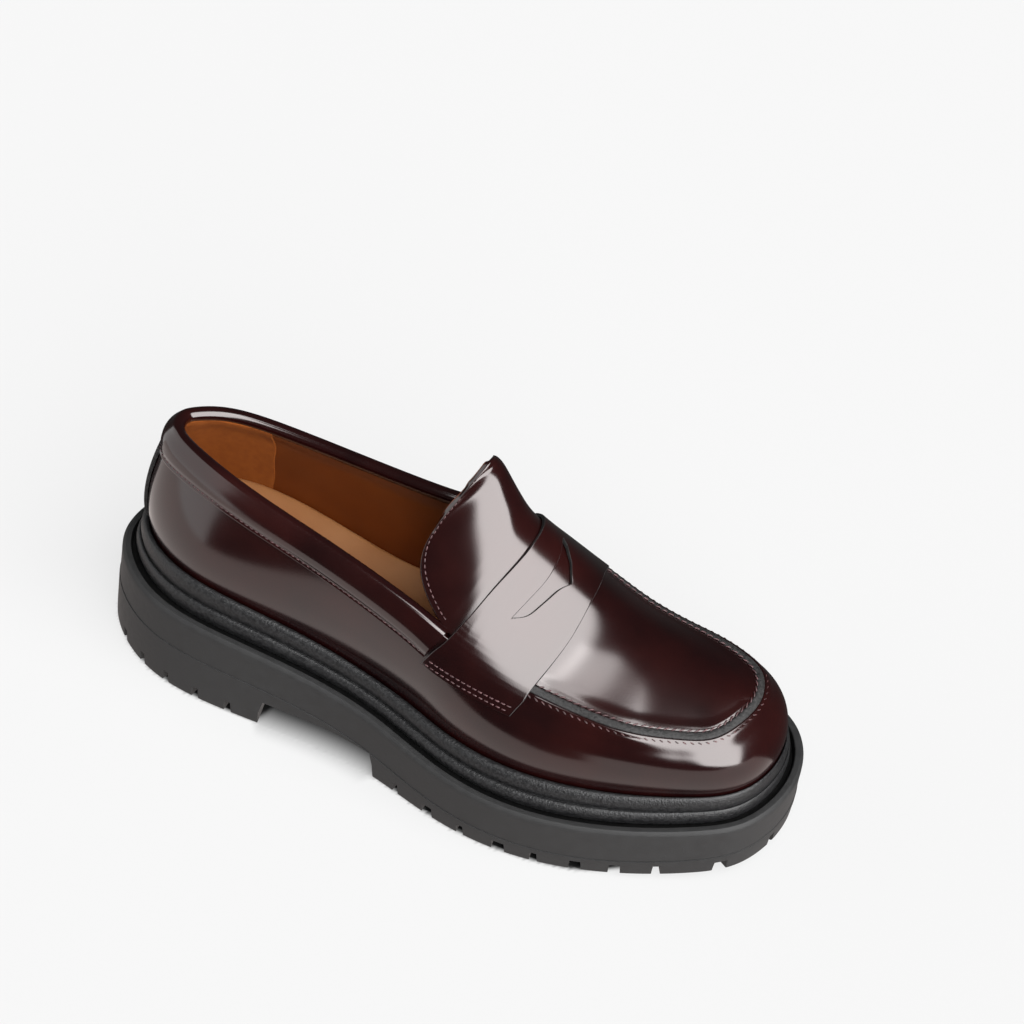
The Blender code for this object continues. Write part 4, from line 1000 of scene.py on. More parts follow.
def strap_table():
    """Places along the strap, close together at its ends and at the tips of the slot."""
    rows = np.array(STRAP_ROWS)
    dense = np.linspace(0, len(rows) - 1, 4001)
    reach = spline(np.arange(len(rows)), rows[:, 0], dense)
    tips = np.interp((SLOT_REAR[0][0], SLOT_REAR[-1][0]), reach, dense)
    wave = np.sin(np.linspace(-np.pi / 2, np.pi / 2, 90)) / 2 + 0.5
    inside = tips[0] + (tips[1] - tips[0]) * wave
    edges = edged(10, 20.0) * STRAP_ENDS[1]
    ends = edges[edges < 1.5]
    at = np.r_[ends, np.linspace(1.5, tips[0], 60)[:-1], inside, np.linspace(tips[1], 7.5, 90)[1:],
               STRAP_ENDS[1] - ends[::-1]]
    return np.unique(at), tips, spline(np.arange(len(rows)), rows, np.unique(at))


def slot_sides(reach):
    """Stations of the rear and the front side of the slot at a reach."""
    rear = np.array(SLOT_REAR)
    front = np.array(SLOT_FRONT)
    peak = 5
    inside = np.clip(reach, rear[0, 0], rear[-1, 0])
    first = spline(front[:peak + 1, 0], front[:peak + 1, 1], inside)
    last = spline(front[peak:, 0], front[peak:, 1], inside)
    return spline(rear[:, 0], rear[:, 1], inside), np.where(inside < front[peak, 0], first, last)


def strap_path(station, reach):
    """Body surface, evened out along the reach where plug and wall of the upper meet."""
    spread = 0.21 * (1 - smooth_step(np.abs(np.abs(reach) - 1), 0.06, 0.42))
    steps = np.linspace(-1.0, 1.0, 9)
    weights = 1.0 - 0.85 * steps ** 2
    total = sum(w * body_point(station, reach + step * spread) for step, w in zip(steps, weights))
    return total / weights.sum()


def build_strap():
    """Rear and front grid on the shoe's surface, raised by the thickness of the strap."""
    at, tips, table = strap_table()
    rear_side, front_side = slot_sides(table[:, 0])
    span = table[:, 3] - table[:, 1]
    cut_a = (rear_side - table[:, 1]) / span
    cut_b = (front_side - table[:, 1]) / span
    left = float(np.interp(tips[0], at, cut_a))
    right = float(np.interp(tips[1], at, cut_a))
    cut_a = np.where(at <= tips[0], left, np.where(at >= tips[1], right, cut_a))
    cut_b = np.where(at <= tips[0], left, np.where(at >= tips[1], right, cut_b))
    t = edged(26, 14.0)
    t2 = edged(34, 22.0)
    rear = cut_a[:, None] * t[None]
    front = cut_b[:, None] + (1 - cut_b)[:, None] * t2[None]
    across = np.concatenate([rear, front], 1)
    reach = table[:, 0:1] * (1 - across) + table[:, 2:3] * across
    station = table[:, 1:2] * (1 - across) + table[:, 3:4] * across
    under = strap_path(station, reach)
    normal = -grid_normals(under)
    base = under + normal * GAP
    m = len(t)
    inside = (at >= tips[0] - 1e-9) & (at <= tips[1] + 1e-9)
    loop = np.vstack([under[inside, m - 1], under[inside, m][::-1]])
    to_slot = nearest_on(loop, under.reshape(-1, 3))[0].reshape(under.shape[:2])
    distance = np.minimum(edge_distance(under), to_slot)
    first_end = (True, False, False, False)
    last_end = (False, True, False, False)
    ends = [edge_distance(under, sides) for sides in (first_end, last_end)]
    relief = sum(groove(end - inset, 0.55, 0.2) for end in ends for inset in STRAP_INSETS)
    outer = base + normal * (cut_height(distance, STRAP_THICKNESS, 0.3) + relief)[..., None]
    rows, columns = under.shape[:2]
    half = rows * columns
    quads = quads_of(rows, columns)
    quads = quads[quads[:, 0] % columns != m - 1]
    near = distance.ravel()[quads].max(axis=1) < 0.26
    sides = [(quads, near), (quads[:, ::-1] + half, np.zeros(len(quads), bool))]
    i = np.arange(rows - 1)
    open_here = inside[:-1] & inside[1:]
    for j, rows_of in ((0, i), (columns - 1, i), (m - 1, i[open_here]), (m, i[open_here])):
        a = rows_of * columns + j
        sides.append((np.stack([a, a + half, a + columns + half, a + columns], -1), np.ones(len(a), bool)))
    j = np.arange(columns - 1)
    j = j[j != m - 1]
    for row in (0, rows - 1):
        a = row * columns + j
        sides.append((np.stack([a, a + half, a + half + 1, a + 1], -1), np.ones(len(a), bool)))
    which = np.concatenate([flag for _, flag in sides]).astype(int)
    points = np.concatenate([outer.reshape(-1, 3), base.reshape(-1, 3)])
    return make_piece("strap_leather", points, np.vstack([q for q, _ in sides]), [OXBLOOD, CUT_EDGE],
                      which)


strap = build_strap()
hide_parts("strap")

# %% [markdown]
# ## Thread
# A stitch is a small bent capsule: a circle that grows and shrinks along its length. One
# function places hundreds of them at once, each with its own direction and normal.

# %% Stitches


def stitches(name, points, along, normal, length, width, material, bend=0.35):
    """Capsules: x along, radius (1 - s^4)^(1/2), dipping at both ends by bend times width."""
    points, along, normal = (np.asarray(a, float).reshape(-1, 3) for a in (points, along, normal))
    side = unit(np.cross(normal, along))
    s = np.array([-1.0, -0.93, -0.7, -0.35, 0.0, 0.35, 0.7, 0.93, 1.0])
    angle = np.linspace(0, 2 * np.pi, 9)
    radius = np.sqrt(np.clip(1 - s ** 4, 0, 1)) * width / 2
    x = (s * length / 2)[:, None] + 0 * angle[None]
    y = radius[:, None] * np.cos(angle)[None]
    z = radius[:, None] * np.sin(angle)[None] - (bend * width * s ** 2)[:, None]
    verts = (points[:, None, None] + along[:, None, None] * x[None, ..., None]
             + side[:, None, None] * y[None, ..., None] + normal[:, None, None] * z[None, ..., None])
    block = len(s) * len(angle)
    quads = quads_of(len(s), len(angle))
    quads = (quads[None] + (np.arange(len(points)) * block)[:, None, None]).reshape(-1, 4)
    return make_piece(name, verts.reshape(-1, 3), quads, [material])


def pace(line, pitch, start=0.5):
    """Places, as a share of the line's index, at equal distances along a line of points."""
    run = np.r_[0, np.cumsum(np.linalg.norm(np.diff(line, axis=0), axis=1))]
    return np.interp(np.arange(pitch * start, run[-1], pitch), run, np.arange(len(line)))


def pick(values, places):
    """Values of an array at fractional indices, by straight interpolation."""
    low = np.clip(places.astype(int), 0, len(values) - 2)
    part = (places - low)[:, None]
    return values[low] * (1 - part) + values[low + 1] * part


def sewn_row(name, line, normal, pitch, length, width, start=0.5, sunk=0.0):
    """Stitches straight along a line at equal distances, sunk a little below it."""
    at = pace(line, pitch, start)
    up = unit(pick(normal, at))
    along = unit(pick(np.gradient(line, axis=0), at))
    return stitches(name, pick(line, at) - up * sunk, along, up, length, width, THREAD)


def seam_stitches():
    """Slanted stitches on both sides of the toe seam's cut edge."""
    inward = unit(SEAM_WAY)
    v = 1 - SEAM_STITCH / 30.0
    outward = wall_normal(SEAM_U, v)
    rows = (
        ("plug_stitches", SEAM_OUTER + SEAM_WAY + inward * 0.45, SEAM_NORMAL, 0.60, 0.50, THREAD),
        # the vamp row takes the darker thread: painted shade below the raised seam's cut edge
        ("vamp_stitches", wall_point(SEAM_U, v) + outward * SEAM_STEP * 0.9, outward, -0.10, -0.55,
         THREAD_IN_SHADE),
    )
    made = []
    for name, line, normal, height, slant, thread in rows:
        at = pace(line, 2.75)
        up = unit(pick(normal, at))
        along = unit(pick(SEAM_ALONG, at) + pick(inward, at) * slant)
        made.append(stitches(name, pick(line, at) + up * height, along, up, 2.3, 0.55, thread))
    return made


def band_stitches():
    """Short stitches along the lower edge of the collar band."""
    u3, low = band_section(np.linspace(0.004, 0.996, 900))
    v = low + (1 - low) * 0.12
    normal = wall_normal(u3[:, 0], v)
    line = wall_point(u3[:, 0], v) + normal * (GAP + 1.05)
    return sewn_row("collar_stitches", line, normal, 2.3, 1.7, 0.55)


def tongue_stitches():
    """A row of stitches inside each cut side of the tongue, down to the strap."""
    station, q = plug_grid()
    keep = station < -0.25
    top = plug_point(station[keep, None], q[keep])
    normal = grid_normals(top)
    rows = np.arange(13, keep.sum())
    made = []
    for name, order in (("tongue_stitches_lateral", 1), ("tongue_stitches_medial", -1)):
        from_side = top[:, ::order]
        run = np.cumsum(np.linalg.norm(np.diff(from_side[:, :30], axis=1), axis=-1), axis=1)
        column = ((run < TONGUE_STITCH).sum(axis=1) + 1)[rows]
        made.append(sewn_row(name, from_side[rows, column], normal[:, ::order][rows, column], 2.2, 1.75,
                             0.5, sunk=0.12))
    return made


def strap_stitches():
    """Two rows of stitches across each end of the strap."""
    rows = np.array(STRAP_ROWS)
    across = np.linspace(0.035, 0.965, 400)
    made = []
    for side, end, order in (("lateral", STRAP_ENDS[0], 1.0), ("medial", STRAP_ENDS[1], -1.0)):
        for row, inset in enumerate(STRAP_INSETS):
            at_end = np.full(len(across), end + order * inset / STRAP_SPACING)
            table = spline(np.arange(len(rows)), rows, at_end)
            reach = table[:, 0] * (1 - across) + table[:, 2] * across
            station = table[:, 1] * (1 - across) + table[:, 3] * across
            u = THROAT_LATERAL + station if order > 0 else THROAT_MEDIAL - station
            normal = wall_normal(u, np.clip(2 - np.abs(reach), 0, 1))
            line = strap_path(station, reach) + normal * (GAP + STRAP_THICKNESS - 0.12)
            made.append(sewn_row(f"strap_stitches_{side}_{row + 1}", line, normal, 2.3, 1.8, 0.55,
                                 start=0.5 + 0.25 * row))
    return made


threads = seam_stitches() + [band_stitches()] + tongue_stitches() + strap_stitches()
print("rows of stitches:", len(threads))

# %% [markdown]
# ## Sole
# The sole's side wall follows one outline in plan. Its rings are the same outline moved
# outward and upward by a small profile: a rounded foot, a parting line, a chamfered rim
# and a shelf for the welt. We make it full height first and cut the tread out of it.

# %% Outline of the sole


def outline_knots():
    """Closed list of outline points, heel, lateral side, toe, medial side, heel."""
    table = np.array(TREAD_OUTLINE)
    x = table[:, 0] * TREAD_LENGTH - TREAD_LENGTH / 2
    lateral = -table[:, 1]
    lateral[-1] = TOE_TIP_Y
    there = np.stack([x, lateral], 1)
    back = np.stack([x[-2:0:-1], table[-2:0:-1, 2]], 1)
    return np.vstack([there, back, there[:1]])


OUTLINE = outline_knots()
OUTLINE_STEPS = np.r_[0, np.cumsum(np.sqrt(np.linalg.norm(np.diff(OUTLINE, axis=0), axis=1)))]


def outline_at(steps):
    """Points of the tread outline and the outward normals there."""
    small = OUTLINE_STEPS[-1] / 4000
    here = spline(OUTLINE_STEPS, OUTLINE, steps, True)
    along = unit(spline(OUTLINE_STEPS, OUTLINE, np.asarray(steps) + small, True)
                 - spline(OUTLINE_STEPS, OUTLINE, np.asarray(steps) - small, True))
    return here, np.stack([along[..., 1], -along[..., 0]], -1)


FINE = np.linspace(0, OUTLINE_STEPS[-1], 2881)
FINE_POINTS, FINE_NORMALS = outline_at(FINE)


def spring(x):
    """Height of the tread above the floor: flat, then a parabola up to the toe."""
    rise = np.clip((x + TREAD_LENGTH / 2) / TREAD_LENGTH - SPRING_START, 0, None) / (1 - SPRING_START)
    return TOE_SPRING * rise ** 2


def rim_height(x):
    """Height of the rim of the sole at x."""
    table = np.array(SOLE_HEIGHTS)
    return spline(table[:, 0], table[:, 1], (x + TREAD_LENGTH / 2) / TREAD_LENGTH)


def rim_flare(x):
    """Distance of the rim outside the tread outline at x."""
    table = np.array(SOLE_HEIGHTS)
    return spline(table[:, 0], table[:, 2], (x + TREAD_LENGTH / 2) / TREAD_LENGTH)


def under_height(x):
    """Underside of the sole without lugs: heel, sloped breast, raised waist, forefoot."""
    return np.interp(x, (BREAST_FOOT, BREAST_TOP, FORE_TOP, FORE_FOOT),
                     (LUG_HEIGHT, WAIST_HEIGHT, WAIST_HEIGHT, LUG_HEIGHT)) + spring(x)


def outline_step(points):
    """Step of the outline nearest to each point."""
    far = np.linalg.norm(np.asarray(points)[:, None, :2] - FINE_POINTS[None], axis=-1)
    return FINE[far.argmin(axis=1)]


print("outline length:", round(float(np.linalg.norm(np.diff(FINE_POINTS, axis=0), axis=1).sum())), "mm")

# %% Sole body, full height
# level, outward, above level; the flare grows from the floor to the rim
SOLE_PROFILE = (
    ("floor", -1.30, 0.00), ("floor", -0.75, 0.22), ("floor", -0.30, 0.65), ("floor", -0.05, 1.20),
    ("floor", 0.0, 2.0), ("floor", 0.10, 4.2), ("parting", 0.28, -3.0), ("parting", 0.30, -0.9),
    ("parting", 0.30, -0.10), ("parting", -0.05, 0.0), ("parting", -0.05, 0.25), ("parting", 0.08, 0.45),
    ("rim", 0.0, -6.0), ("rim", 0.05, -3.4), ("rim", 0.0, -1.5), ("rim", -0.12, -1.15),
    ("rim", -0.85, -0.22), ("rim", -1.15, 0.0), ("rim", -1.6, 0.05), ("rim", -3.0, 0.0),
    ("rim", -GROOVE_INSET, -0.25), ("rim", -3.6, -1.2), ("rim", -3.9, -2.6),
)
PARTING_LINE = ((-150, 20.5), (-62, 20.0), (-35, 17.0), (-8, 12.8), (20, 10.0), (150, 10.0))


def ring_body(name, rings):
    """Closed body from rings stacked upward; both ends are closed by strips from side to side."""
    count = len(rings[0])
    side = quads_of(len(rings), count + 1)
    side = np.where(side % (count + 1) == count, side - count, side)
    side = side - side // (count + 1)
    half = count // 2
    i = np.arange(half)
    cap = np.stack([i, i + 1, (count - i - 1) % count, (count - i) % count], -1)
    faces = side.tolist() + cap[:, ::-1].tolist() + (cap + (len(rings) - 1) * count).tolist()
    return mesh_object(name, np.concatenate(rings), [list(dict.fromkeys(f)) for f in faces])


def build_full_sole():
    """Rings of the profile, then shelf and platform up to the foot line of the upper."""
    angle = np.linspace(0, np.pi, 331)
    x = -np.cos(angle)[1:-1] * TREAD_LENGTH / 2
    toe = int(np.argmax(FINE_POINTS[:, 0]))
    lateral = np.interp(x, FINE_POINTS[:toe, 0], FINE[:toe])
    medial = np.interp(x[::-1], FINE_POINTS[toe:, 0][::-1], FINE[toe:][::-1])
    points, normals = outline_at(np.r_[FINE[0], lateral, FINE[toe], medial])
    low = spring(points[:, 0])
    parting = spline(*np.array(PARTING_LINE, float).T, points[:, 0])
    levels = {"floor": low, "parting": parting + low, "rim": rim_height(points[:, 0])}
    flare = rim_flare(points[:, 0])
    rings = []
    for level, outward, above in SOLE_PROFILE:
        z = levels[level] + above
        part = np.clip((z - low) / (levels["rim"] - low), 0, 1)
        place_of = points + normals * (flare * part + outward)[:, None]
        rings.append(np.c_[place_of, z])
    rows = np.linspace(0, ROW_COUNT, 3201)[:-1]
    line = wall_rows(rows)
    nearest = rows[np.linalg.norm(points[:, None] - line[None, :, :2], axis=-1).argmin(axis=1)]
    foot = wall_rows(nearest)[:, :3] - wall_outward(nearest) * 2.0
    rings.append(np.c_[foot[:, :2], rings[-1][:, 2]])
    under_foot = foot - wall_outward(nearest)
    rings.append(np.c_[under_foot[:, :2], foot[:, 2] - PLATFORM_DROP - 1.0])
    return ring_body("rubber_outsole", rings)


# %% [markdown]
# The tread is what is left when a slab under the sole, without the lugs, is taken away.
# Each lug is a block between two grooves. Its ground face is smaller than its root, so all
# its edges get a chamfer.

# %% Lugs and the slab they are cut from


def offset_polygon(corners, inward):
    """Polygon with every side moved inward: corners are where neighbouring sides meet."""
    corners = np.asarray(corners, float)
    following = np.roll(corners, -1, axis=0)
    area = np.sum(corners[:, 0] * following[:, 1] - following[:, 0] * corners[:, 1])
    side = unit(following - corners)
    normal = np.stack([-side[:, 1], side[:, 0]], -1) * np.sign(area)
    level = (corners * normal).sum(1) + inward
    before_n, before_l = np.roll(normal, 1, axis=0), np.roll(level, 1)
    cross = normal[:, 0] * before_n[:, 1] - normal[:, 1] * before_n[:, 0]
    x = (level * before_n[:, 1] - before_l * normal[:, 1]) / cross
    y = (normal[:, 0] * before_l - before_n[:, 0] * level) / cross
    straight = np.abs(cross) < 0.02
    moved = corners + (normal + before_n) / 2 * inward
    return np.where(straight[:, None], moved, np.stack([x, y], -1))


def lug_polygon(first, last, direction):
    """Plan of one lug between two grooves, with its outer side well outside the outline."""
    total = OUTLINE_STEPS[-1]
    corners = []
    for cut, side in ((first, 1.0), (last, -1.0)):
        outer = np.array(cut[0:2])
        inner = np.array(cut[2:4])
        step = outline_step(outer[None])[0]
        ends = outline_at(np.array([step - 0.02, step + 0.02]))[0]
        speed = np.linalg.norm(ends[1] - ends[0]) / 0.04
        line = unit(outer - inner)
        level = np.array([line[1], -line[0]]) * -direction
        corners.append((step + direction * side * cut[4] / speed, inner + level * side * cut[4], line))
    begin, end = corners[0][0], corners[1][0]
    if (end - begin) * direction < 0:
        end += total * direction
    points, normals = outline_at(np.linspace(begin, end, 4))
    edge = points + normals * 2.0
    edge[0] = points[0] + corners[0][2] * 6.0
    edge[-1] = points[-1] + corners[1][2] * 6.0
    return np.vstack([edge, corners[1][1], corners[0][1]])


def block_mesh(name, polygons, levels):
    """Closed blocks in one mesh; each level is a height and how far the plan is drawn in."""
    verts = []
    faces = []
    for polygon in polygons:
        polygon = np.asarray(polygon, float)
        count = len(polygon)
        base = len(verts)
        low = spring(np.clip(polygon[:, 0], -136, 136))
        for height, inward in levels:
            plan = offset_polygon(polygon, inward)
            verts += np.c_[plan, low + height].tolist()
        top = base + (len(levels) - 1) * count
        ring = np.arange(count)
        faces.append((base + ring[::-1]).tolist())
        faces.append((top + ring).tolist())
        for level in range(len(levels) - 1):
            a = base + level * count + ring
            b = base + level * count + np.roll(ring, -1)
            faces += np.stack([a, b, b + count, a + count], -1).tolist()
    return mesh_object(name, verts, faces)


def all_lug_polygons():
    """Lugs of heel and forefoot, and the blocks inside their rings."""
    polygons = []
    for grooves, ends, direction in ((HEEL_GROOVES, HEEL_ENDS, 1.0), (FORE_GROOVES, FORE_ENDS, -1.0)):
        cuts = [(*ends[0], 0.0)] + [(*g[:4], g[4] / 2) for g in grooves] + [(*ends[1], 0.0)]
        polygons += [lug_polygon(a, b, direction) for a, b in zip(cuts[:-1], cuts[1:])]
    return polygons + [np.array(block) for block in CENTRE_BLOCKS]


def build_slab():
    """Slab from below the floor up to the bare underside, wider than the sole."""
    marks = [-150.0, BREAST_FOOT, BREAST_TOP, FORE_TOP, FORE_FOOT]
    x = np.unique(np.r_[marks, np.linspace(-150, BREAST_FOOT, 4), np.linspace(FORE_FOOT, 43, 4),
                        np.linspace(43, 150, 40)])
    y = np.array([-75.0, -30.0, -15.0, 0.0, 15.0, 30.0, 75.0])
    vee = BREAST_VEE * np.array([0.0, 0.0, 0.55, 1.0, 0.55, 0.0, 0.0])
    fade = np.interp(x, (BREAST_FOOT - BREAST_FADE, *marks[1:3], BREAST_TOP + BREAST_FADE), (0, 1, 1, 0))
    xx = x[:, None] - fade[:, None] * vee[None]
    sides = np.abs(y) > 20
    steep = np.interp(x, marks[1:], (0.0, -5.8, 7.5, 3.6), 0.0, 0.0)
    xx[:, sides] += steep[:, None]
    z = np.broadcast_to(under_height(x)[:, None], xx.shape)
    top = np.stack([xx, np.broadcast_to(y[None], xx.shape), z], -1)
    low = top.copy()
    low[..., 2] = -5.0
    quads = shell_quads(*top.shape[:2])[0]
    points = np.concatenate([top.reshape(-1, 3), low.reshape(-1, 3)])
    return mesh_object("tread_slab", points, quads.tolist())


def cut(target, tool):
    """Take the tool's volume out of the target with one exact boolean, and drop the tool."""
    modifier = target.modifiers.new("cut", "BOOLEAN")
    modifier.object = tool
    modifier.operation = "DIFFERENCE"
    modifier.solver = "EXACT"
    bpy.context.view_layer.objects.active = target
    bpy.ops.object.modifier_apply(modifier=modifier.name)
    bpy.data.objects.remove(tool, do_unlink=True)


def groove_shade_faces(obj):
    """1 for faces in the narrow groove between rim and bead, which are painted dark as its shade; 0 for the
    others.
    """
    middle = np.empty(len(obj.data.polygons) * 3)
    obj.data.polygons.foreach_get("center", middle)
    middle = middle.reshape(-1, 3) / MM + CENTRE
    below_rim = rim_height(middle[:, 0]) - middle[:, 2]
    at = np.searchsorted(FINE, outline_step(middle))
    outward = ((middle[:, :2] - FINE_POINTS[at]) * FINE_NORMALS[at]).sum(1)
    from_rim = rim_flare(middle[:, 0]) - outward
    return (below_rim > 0.1) & (below_rim < 4.0) & (from_rim > GROOVE_INSET - 0.1)


# height and how far the plan is drawn in, from below the floor to inside the sole
LUG_LEVELS = ((-9.0, 0.75), (0.0, 0.75), (0.8, 0.0), (6.2, -0.25), (20.0, -0.25))
outsole = build_full_sole()
slab = build_slab()
lugs = block_mesh("lug_blocks", all_lug_polygons(), LUG_LEVELS)
cut(slab, lugs)
cut(outsole, slab)
outsole.data.materials.append(RUBBER)
# the groove's faces take the near-black rubber, which paints the shade inside it
outsole.data.materials.append(GROOVE_SHADE_RUBBER)
outsole.data.polygons.foreach_set("material_index", groove_shade_faces(outsole).astype(np.int32))
finish_piece(outsole, 25.0)
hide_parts("outsole")

# %% [markdown]
# ## Welt
# Two round beads of pebbled rubber run round the shoe between shelf and leather, with a
# deep narrow valley between them. Again a profile is carried round, this time stretched to
# the room that the shelf leaves at each row.

# %% Welt beads
WELT_CURVE = (          # share of the width outward, share of the height
    (0.90, -0.06), (0.945, -0.02), (0.99, 0.02), (1.045, 0.09), (1.065, 0.17), (1.04, 0.265),
    (0.965, 0.35), (0.86, 0.405), (0.75, 0.425), (0.665, 0.415), (0.612, 0.395), (0.600, 0.425),
    (0.628, 0.48), (0.668, 0.56), (0.678, 0.65), (0.645, 0.76), (0.57, 0.865), (0.45, 0.945),
    (0.31, 0.985), (0.17, 0.99), (0.06, 0.96), (0.01, 0.90),
)


def build_welt():
    """Loop per row: the bead curve, then straight down the leather and back under it."""
    u = np.linspace(0, ROW_COUNT, 720, endpoint=False)
    foot = wall_rows(u)[:, :3]
    out = wall_outward(u)
    steps = outline_step(foot[:, :2] + out[:, :2] * 8)
    points, normals = outline_at(steps)
    rim = points + normals * rim_flare(points[:, 0])[:, None]
    width = np.linalg.norm(rim - foot[:, :2], axis=1) - BEAD_INSET
    kernel = np.ones(15) / 15
    width = np.convolve(np.r_[width[-7:], width, width[:7]], kernel, "valid")
    top = foot[:, 2] + 0.6
    knots = np.linspace(0, 1, len(WELT_CURVE))
    curve = spline(knots, np.array(WELT_CURVE), np.linspace(0, 1, 88))
    across = GAP + (width - GAP)[:, None] * curve[None, :, 0]
    ring = foot[:, None] + out[:, None] * across[..., None]
    base = rim_height(ring[..., 0]) + 0.1
    ring[..., 2] = base + (top[:, None] - base) * curve[None, :, 1]
    last = foot + out * GAP
    last[:, 2] = rim_height(last[:, 0]) - 0.5
    first = ring[:, 0].copy()
    first[:, 2] -= 0.6
    loop = np.concatenate([ring, last[:, None], first[:, None], ring[:, :1]], 1)
    return make_piece("welt_beads", loop.reshape(-1, 3), quads_of(*loop.shape[:2], 0, True), [PEBBLED],
                      sharp=60.0)


welt = build_welt()
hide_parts("welt")

# %% [markdown]
# ## Stage, camera and light
# The camera stands where the photographer's did: its place and turn were worked out from
# the outline of the sole. The floor is pale and plain.

# %% Camera
CAMERA_AZIMUTH = 22.1127
CAMERA_ELEVATION = 45.7613
CAMERA_ROLL = -4.2581
CAMERA_PLACE = np.array([378.339, -879.384, 1090.713])
CAMERA_LENS = 136.412


def camera_matrix():
    """Columns: right, up and back of the camera, then its place; roll turns right and up."""
    a, e, r = np.radians([CAMERA_AZIMUTH, CAMERA_ELEVATION, CAMERA_ROLL])
    right = np.array([np.cos(a), np.sin(a), 0.0])
    up = np.array([-np.sin(a) * np.sin(e), np.cos(a) * np.sin(e), np.cos(e)])
    matrix = np.eye(4)
    matrix[:3, 0] = np.cos(r) * right - np.sin(r) * up
    matrix[:3, 1] = np.sin(r) * right + np.cos(r) * up
    matrix[:3, 2] = (np.sin(a) * np.cos(e), -np.cos(a) * np.cos(e), np.sin(e))
    matrix[:3, 3] = (CAMERA_PLACE - CENTRE) * MM
    return Matrix(matrix.tolist())


camera_data = bpy.data.cameras.new("product_camera")
camera_data.lens = CAMERA_LENS
camera_data.sensor_width = 36.0
camera_data.clip_start = 0.05
camera = bpy.data.objects.new("product_camera", camera_data)
bpy.context.scene.collection.objects.link(camera)
camera.matrix_world = camera_matrix()
bpy.context.scene.camera = camera
print("camera at", [round(v, 3) for v in camera.location])

# %% [markdown]
# The floor is white and shines a little by itself. Beneath the sole it fades to dark: a painted
# shadow. Polished leather mirrors a second card instead, which ends before the camera.

# %% Floor
FLOOR_PAINT = 0.085
FLOOR_SHINE = 0.725
GLOW_CORNERS = ((-0.9, -0.142), (0.7, -0.142), (0.7, 0.03), (-0.9, 0.03))   # in metres
GLOW_COLOUR = (1.0, 0.90, 0.865, 1.0)
GLOW_STRENGTH = 0.95


def plain_shader(name, roughness):
    """Material with a Principled shader; returns both."""
    material = bpy.data.materials.new(name)
    material.use_nodes = True
    shader = material.node_tree.nodes["Principled BSDF"]
    shader.inputs["Roughness"].default_value = roughness
    return material, shader


def build_floor():
    """Fine grid by the shoe inside a wide frame; the attribute under is a painted shadow, 1 beneath the sole.
    """
    x = np.r_[-4.0, np.linspace(-0.165, 0.165, 301), 4.0]
    y = np.r_[-4.0, np.linspace(-0.085, 0.085, 156), 4.0]
    xx, yy = np.meshgrid(x, y, indexing="ij")
    points = np.stack([xx, yy, 0 * xx], -1).reshape(-1, 3)
    mesh = bpy.data.meshes.new("pale_floor")
    mesh.from_pydata(points, [], quads_of(len(x), len(y)).tolist())
    mm = points[:, :2] / MM + CENTRE[:2]
    far = np.full(len(mm), 200.0)
    near = np.abs(points).max(axis=1) < 0.3
    gap = mm[near][:, None] - FINE_POINTS[None, ::8]
    nearest = np.linalg.norm(gap, axis=-1)
    first = nearest.argmin(axis=1)
    side = (gap[np.arange(len(gap)), first] * FINE_NORMALS[::8][first]).sum(1)
    far[near] = np.where(side < 0, -1, 1) * nearest.min(axis=1)
    # painted shadow under the sole: wide and soft under the arch, moved in at the toe where the sole lifts
    arch = smooth_step(mm[:, 0], -62, -56) * (1 - smooth_step(mm[:, 0], -14, -7))
    toe = smooth_step(mm[:, 0], 72, 112)
    painted_shadow = 1 - smooth_step(far + 7.5 * toe, -2.1 - 11.0 * arch - 3.0 * toe, -0.2 + 7.5 * arch)
    layer = mesh.attributes.new("under", "FLOAT", "POINT")
    layer.data.foreach_set("value", painted_shadow.astype(np.float32))
    return mesh


def floor_material():
    """Paint and shine fade along the attribute under from the open floor to a painted shadow beneath the
    sole.
    """
    material, shader = plain_shader("pale_floor", 0.9)
    tree = material.node_tree
    shader.inputs["Specular IOR Level"].default_value = 0.0
    shader.inputs["Emission Strength"].default_value = 1.0
    reader = tree.nodes.new("ShaderNodeAttribute")
    reader.attribute_name = "under"
    # beneath the sole the paint and the glow go dark: a painted shadow
    for socket, open_floor, dark in (("Emission Color", FLOOR_SHINE, 0.0), ("Base Color", FLOOR_PAINT, 0.01)):
        ramp = tree.nodes.new("ShaderNodeValToRGB")
        ramp.color_ramp.elements[0].color = (open_floor, open_floor, open_floor, 1.0)
        ramp.color_ramp.elements[1].color = (dark, dark, dark, 1.0)
        tree.links.new(reader.outputs["Fac"], ramp.inputs["Fac"])
        tree.links.new(ramp.outputs["Color"], shader.inputs[socket])
    return material


def build_glow():
    """Card just under the floor that only mirrored rays see."""
    mesh = bpy.data.meshes.new("floor_glow")
    mesh.from_pydata([(x, y, -0.001) for x, y in GLOW_CORNERS], [], [(0, 1, 2, 3)])
    material, shader = plain_shader("floor_glow", 0.8)
    shader.inputs["Base Color"].default_value = (0.0, 0.0, 0.0, 1.0)
    shader.inputs["Emission Color"].default_value = GLOW_COLOUR
    shader.inputs["Emission Strength"].default_value = GLOW_STRENGTH
    mesh.materials.append(material)
    return mesh


floor_mesh = build_floor()
floor_mesh.materials.append(floor_material())
floor = bpy.data.objects.new("pale_floor", floor_mesh)
floor.visible_glossy = False
glow = bpy.data.objects.new("floor_glow", build_glow())
glow.visible_camera = False
glow.visible_diffuse = False
glow.visible_shadow = False
for card in (floor, glow):
    bpy.context.scene.collection.objects.link(card)
print("floor points:", len(floor_mesh.vertices))

# %% [markdown]
# Polished leather shows the lights as in a mirror, so the lights decide how it looks. The
# studio is painted on the world: each soft box is a window in one direction, with its own
# width, height and soft border. At such a distance a box looks the same from all of the shoe.

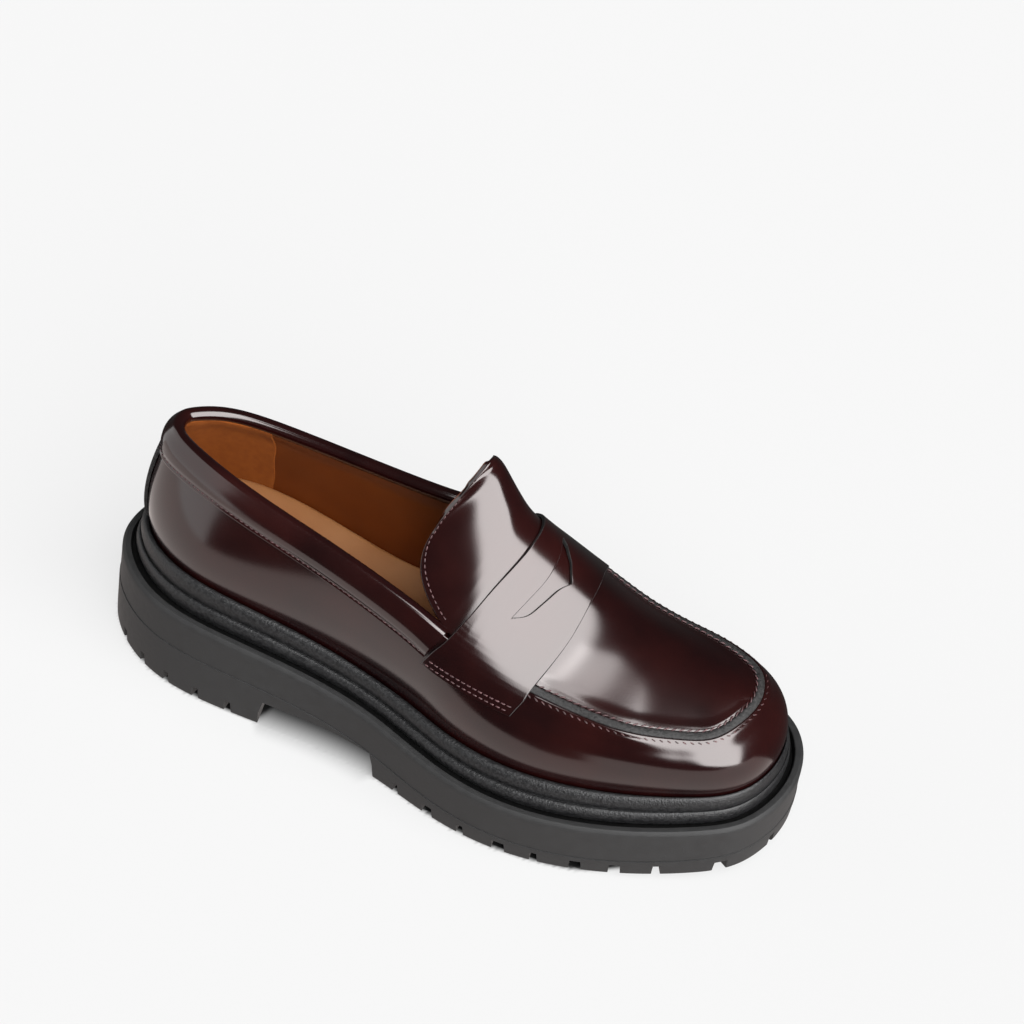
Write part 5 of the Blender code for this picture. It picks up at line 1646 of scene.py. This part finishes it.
# %% Soft boxes of the studio
# azimuth from -Y towards +X, elevation, left, right, low and high limit as tangents from
# that direction, soft border at each limit, radiance
SOFT_BOXES = (
    (55.0, 45.0, -0.46, 0.63, -1.22, 0.40, 0.24, 0.10, 0.12, 0.16, 10.0),
    (50.0, 82.0, -0.14, 0.09, -0.22, 0.05, 0.08, 0.05, 0.10, 0.06, 7.0),
    (-70.0, 10.0, -0.80, 0.70, -1.25, 0.60, 0.08, 0.06, 0.12, 0.16, 1.35),
)
AMBIENT = 0.05


def dot_with(tree, vector, axis):
    """Scalar product of the view direction with a fixed axis."""
    node = tree.nodes.new("ShaderNodeVectorMath")
    node.operation = "DOT_PRODUCT"
    tree.links.new(vector, node.inputs[0])
    node.inputs[1].default_value = tuple(float(value) for value in axis)
    return node.outputs["Value"]


def ramp_between(tree, value, low, high):
    """Smooth step from 0 at low to 1 at high."""
    node = tree.nodes.new("ShaderNodeMapRange")
    node.interpolation_type = "SMOOTHSTEP"
    tree.links.new(value, node.inputs["Value"])
    node.inputs["From Min"].default_value = low
    node.inputs["From Max"].default_value = high
    return node.outputs["Result"]


def build_studio():
    """World: ambient light plus, for each box, radiance times its window of smooth steps."""
    world = bpy.data.worlds.new("studio")
    world.use_nodes = True
    tree = world.node_tree
    direction = tree.nodes.new("ShaderNodeTexCoord").outputs["Generated"]
    total = AMBIENT
    for azimuth, elevation, left, right, low, high, *soft, radiance in SOFT_BOXES:
        a, e = np.radians([azimuth, elevation])
        centre = np.array([np.sin(a) * np.cos(e), -np.cos(a) * np.cos(e), np.sin(e)])
        across = np.array([np.cos(a), np.sin(a), 0.0])
        ahead = dot_with(tree, direction, centre)
        safe = maths(tree, "MAXIMUM", ahead, 0.02)
        x = maths(tree, "DIVIDE", dot_with(tree, direction, across), safe)
        y = maths(tree, "DIVIDE", dot_with(tree, direction, np.cross(centre, across)), safe)
        window = ramp_between(tree, ahead, 0.02, 0.05)
        for value, start, end in ((x, left - soft[0], left), (y, low - soft[2], low)):
            window = maths(tree, "MULTIPLY", window, ramp_between(tree, value, start, end))
        for value, start, end in ((x, right, right + soft[1]), (y, high, high + soft[3])):
            beyond = ramp_between(tree, value, start, end)
            window = maths(tree, "MULTIPLY", window, maths(tree, "SUBTRACT", 1.0, beyond))
        total = maths(tree, "ADD", total, maths(tree, "MULTIPLY", window, radiance))
    background = tree.nodes["Background"]
    background.inputs["Color"].default_value = (1.0, 1.0, 1.0, 1.0)
    tree.links.new(total, background.inputs["Strength"])
    return world


bpy.context.scene.world = build_studio()
bpy.context.scene.view_settings.view_transform = "Standard"
print("soft boxes:", len(SOFT_BOXES))
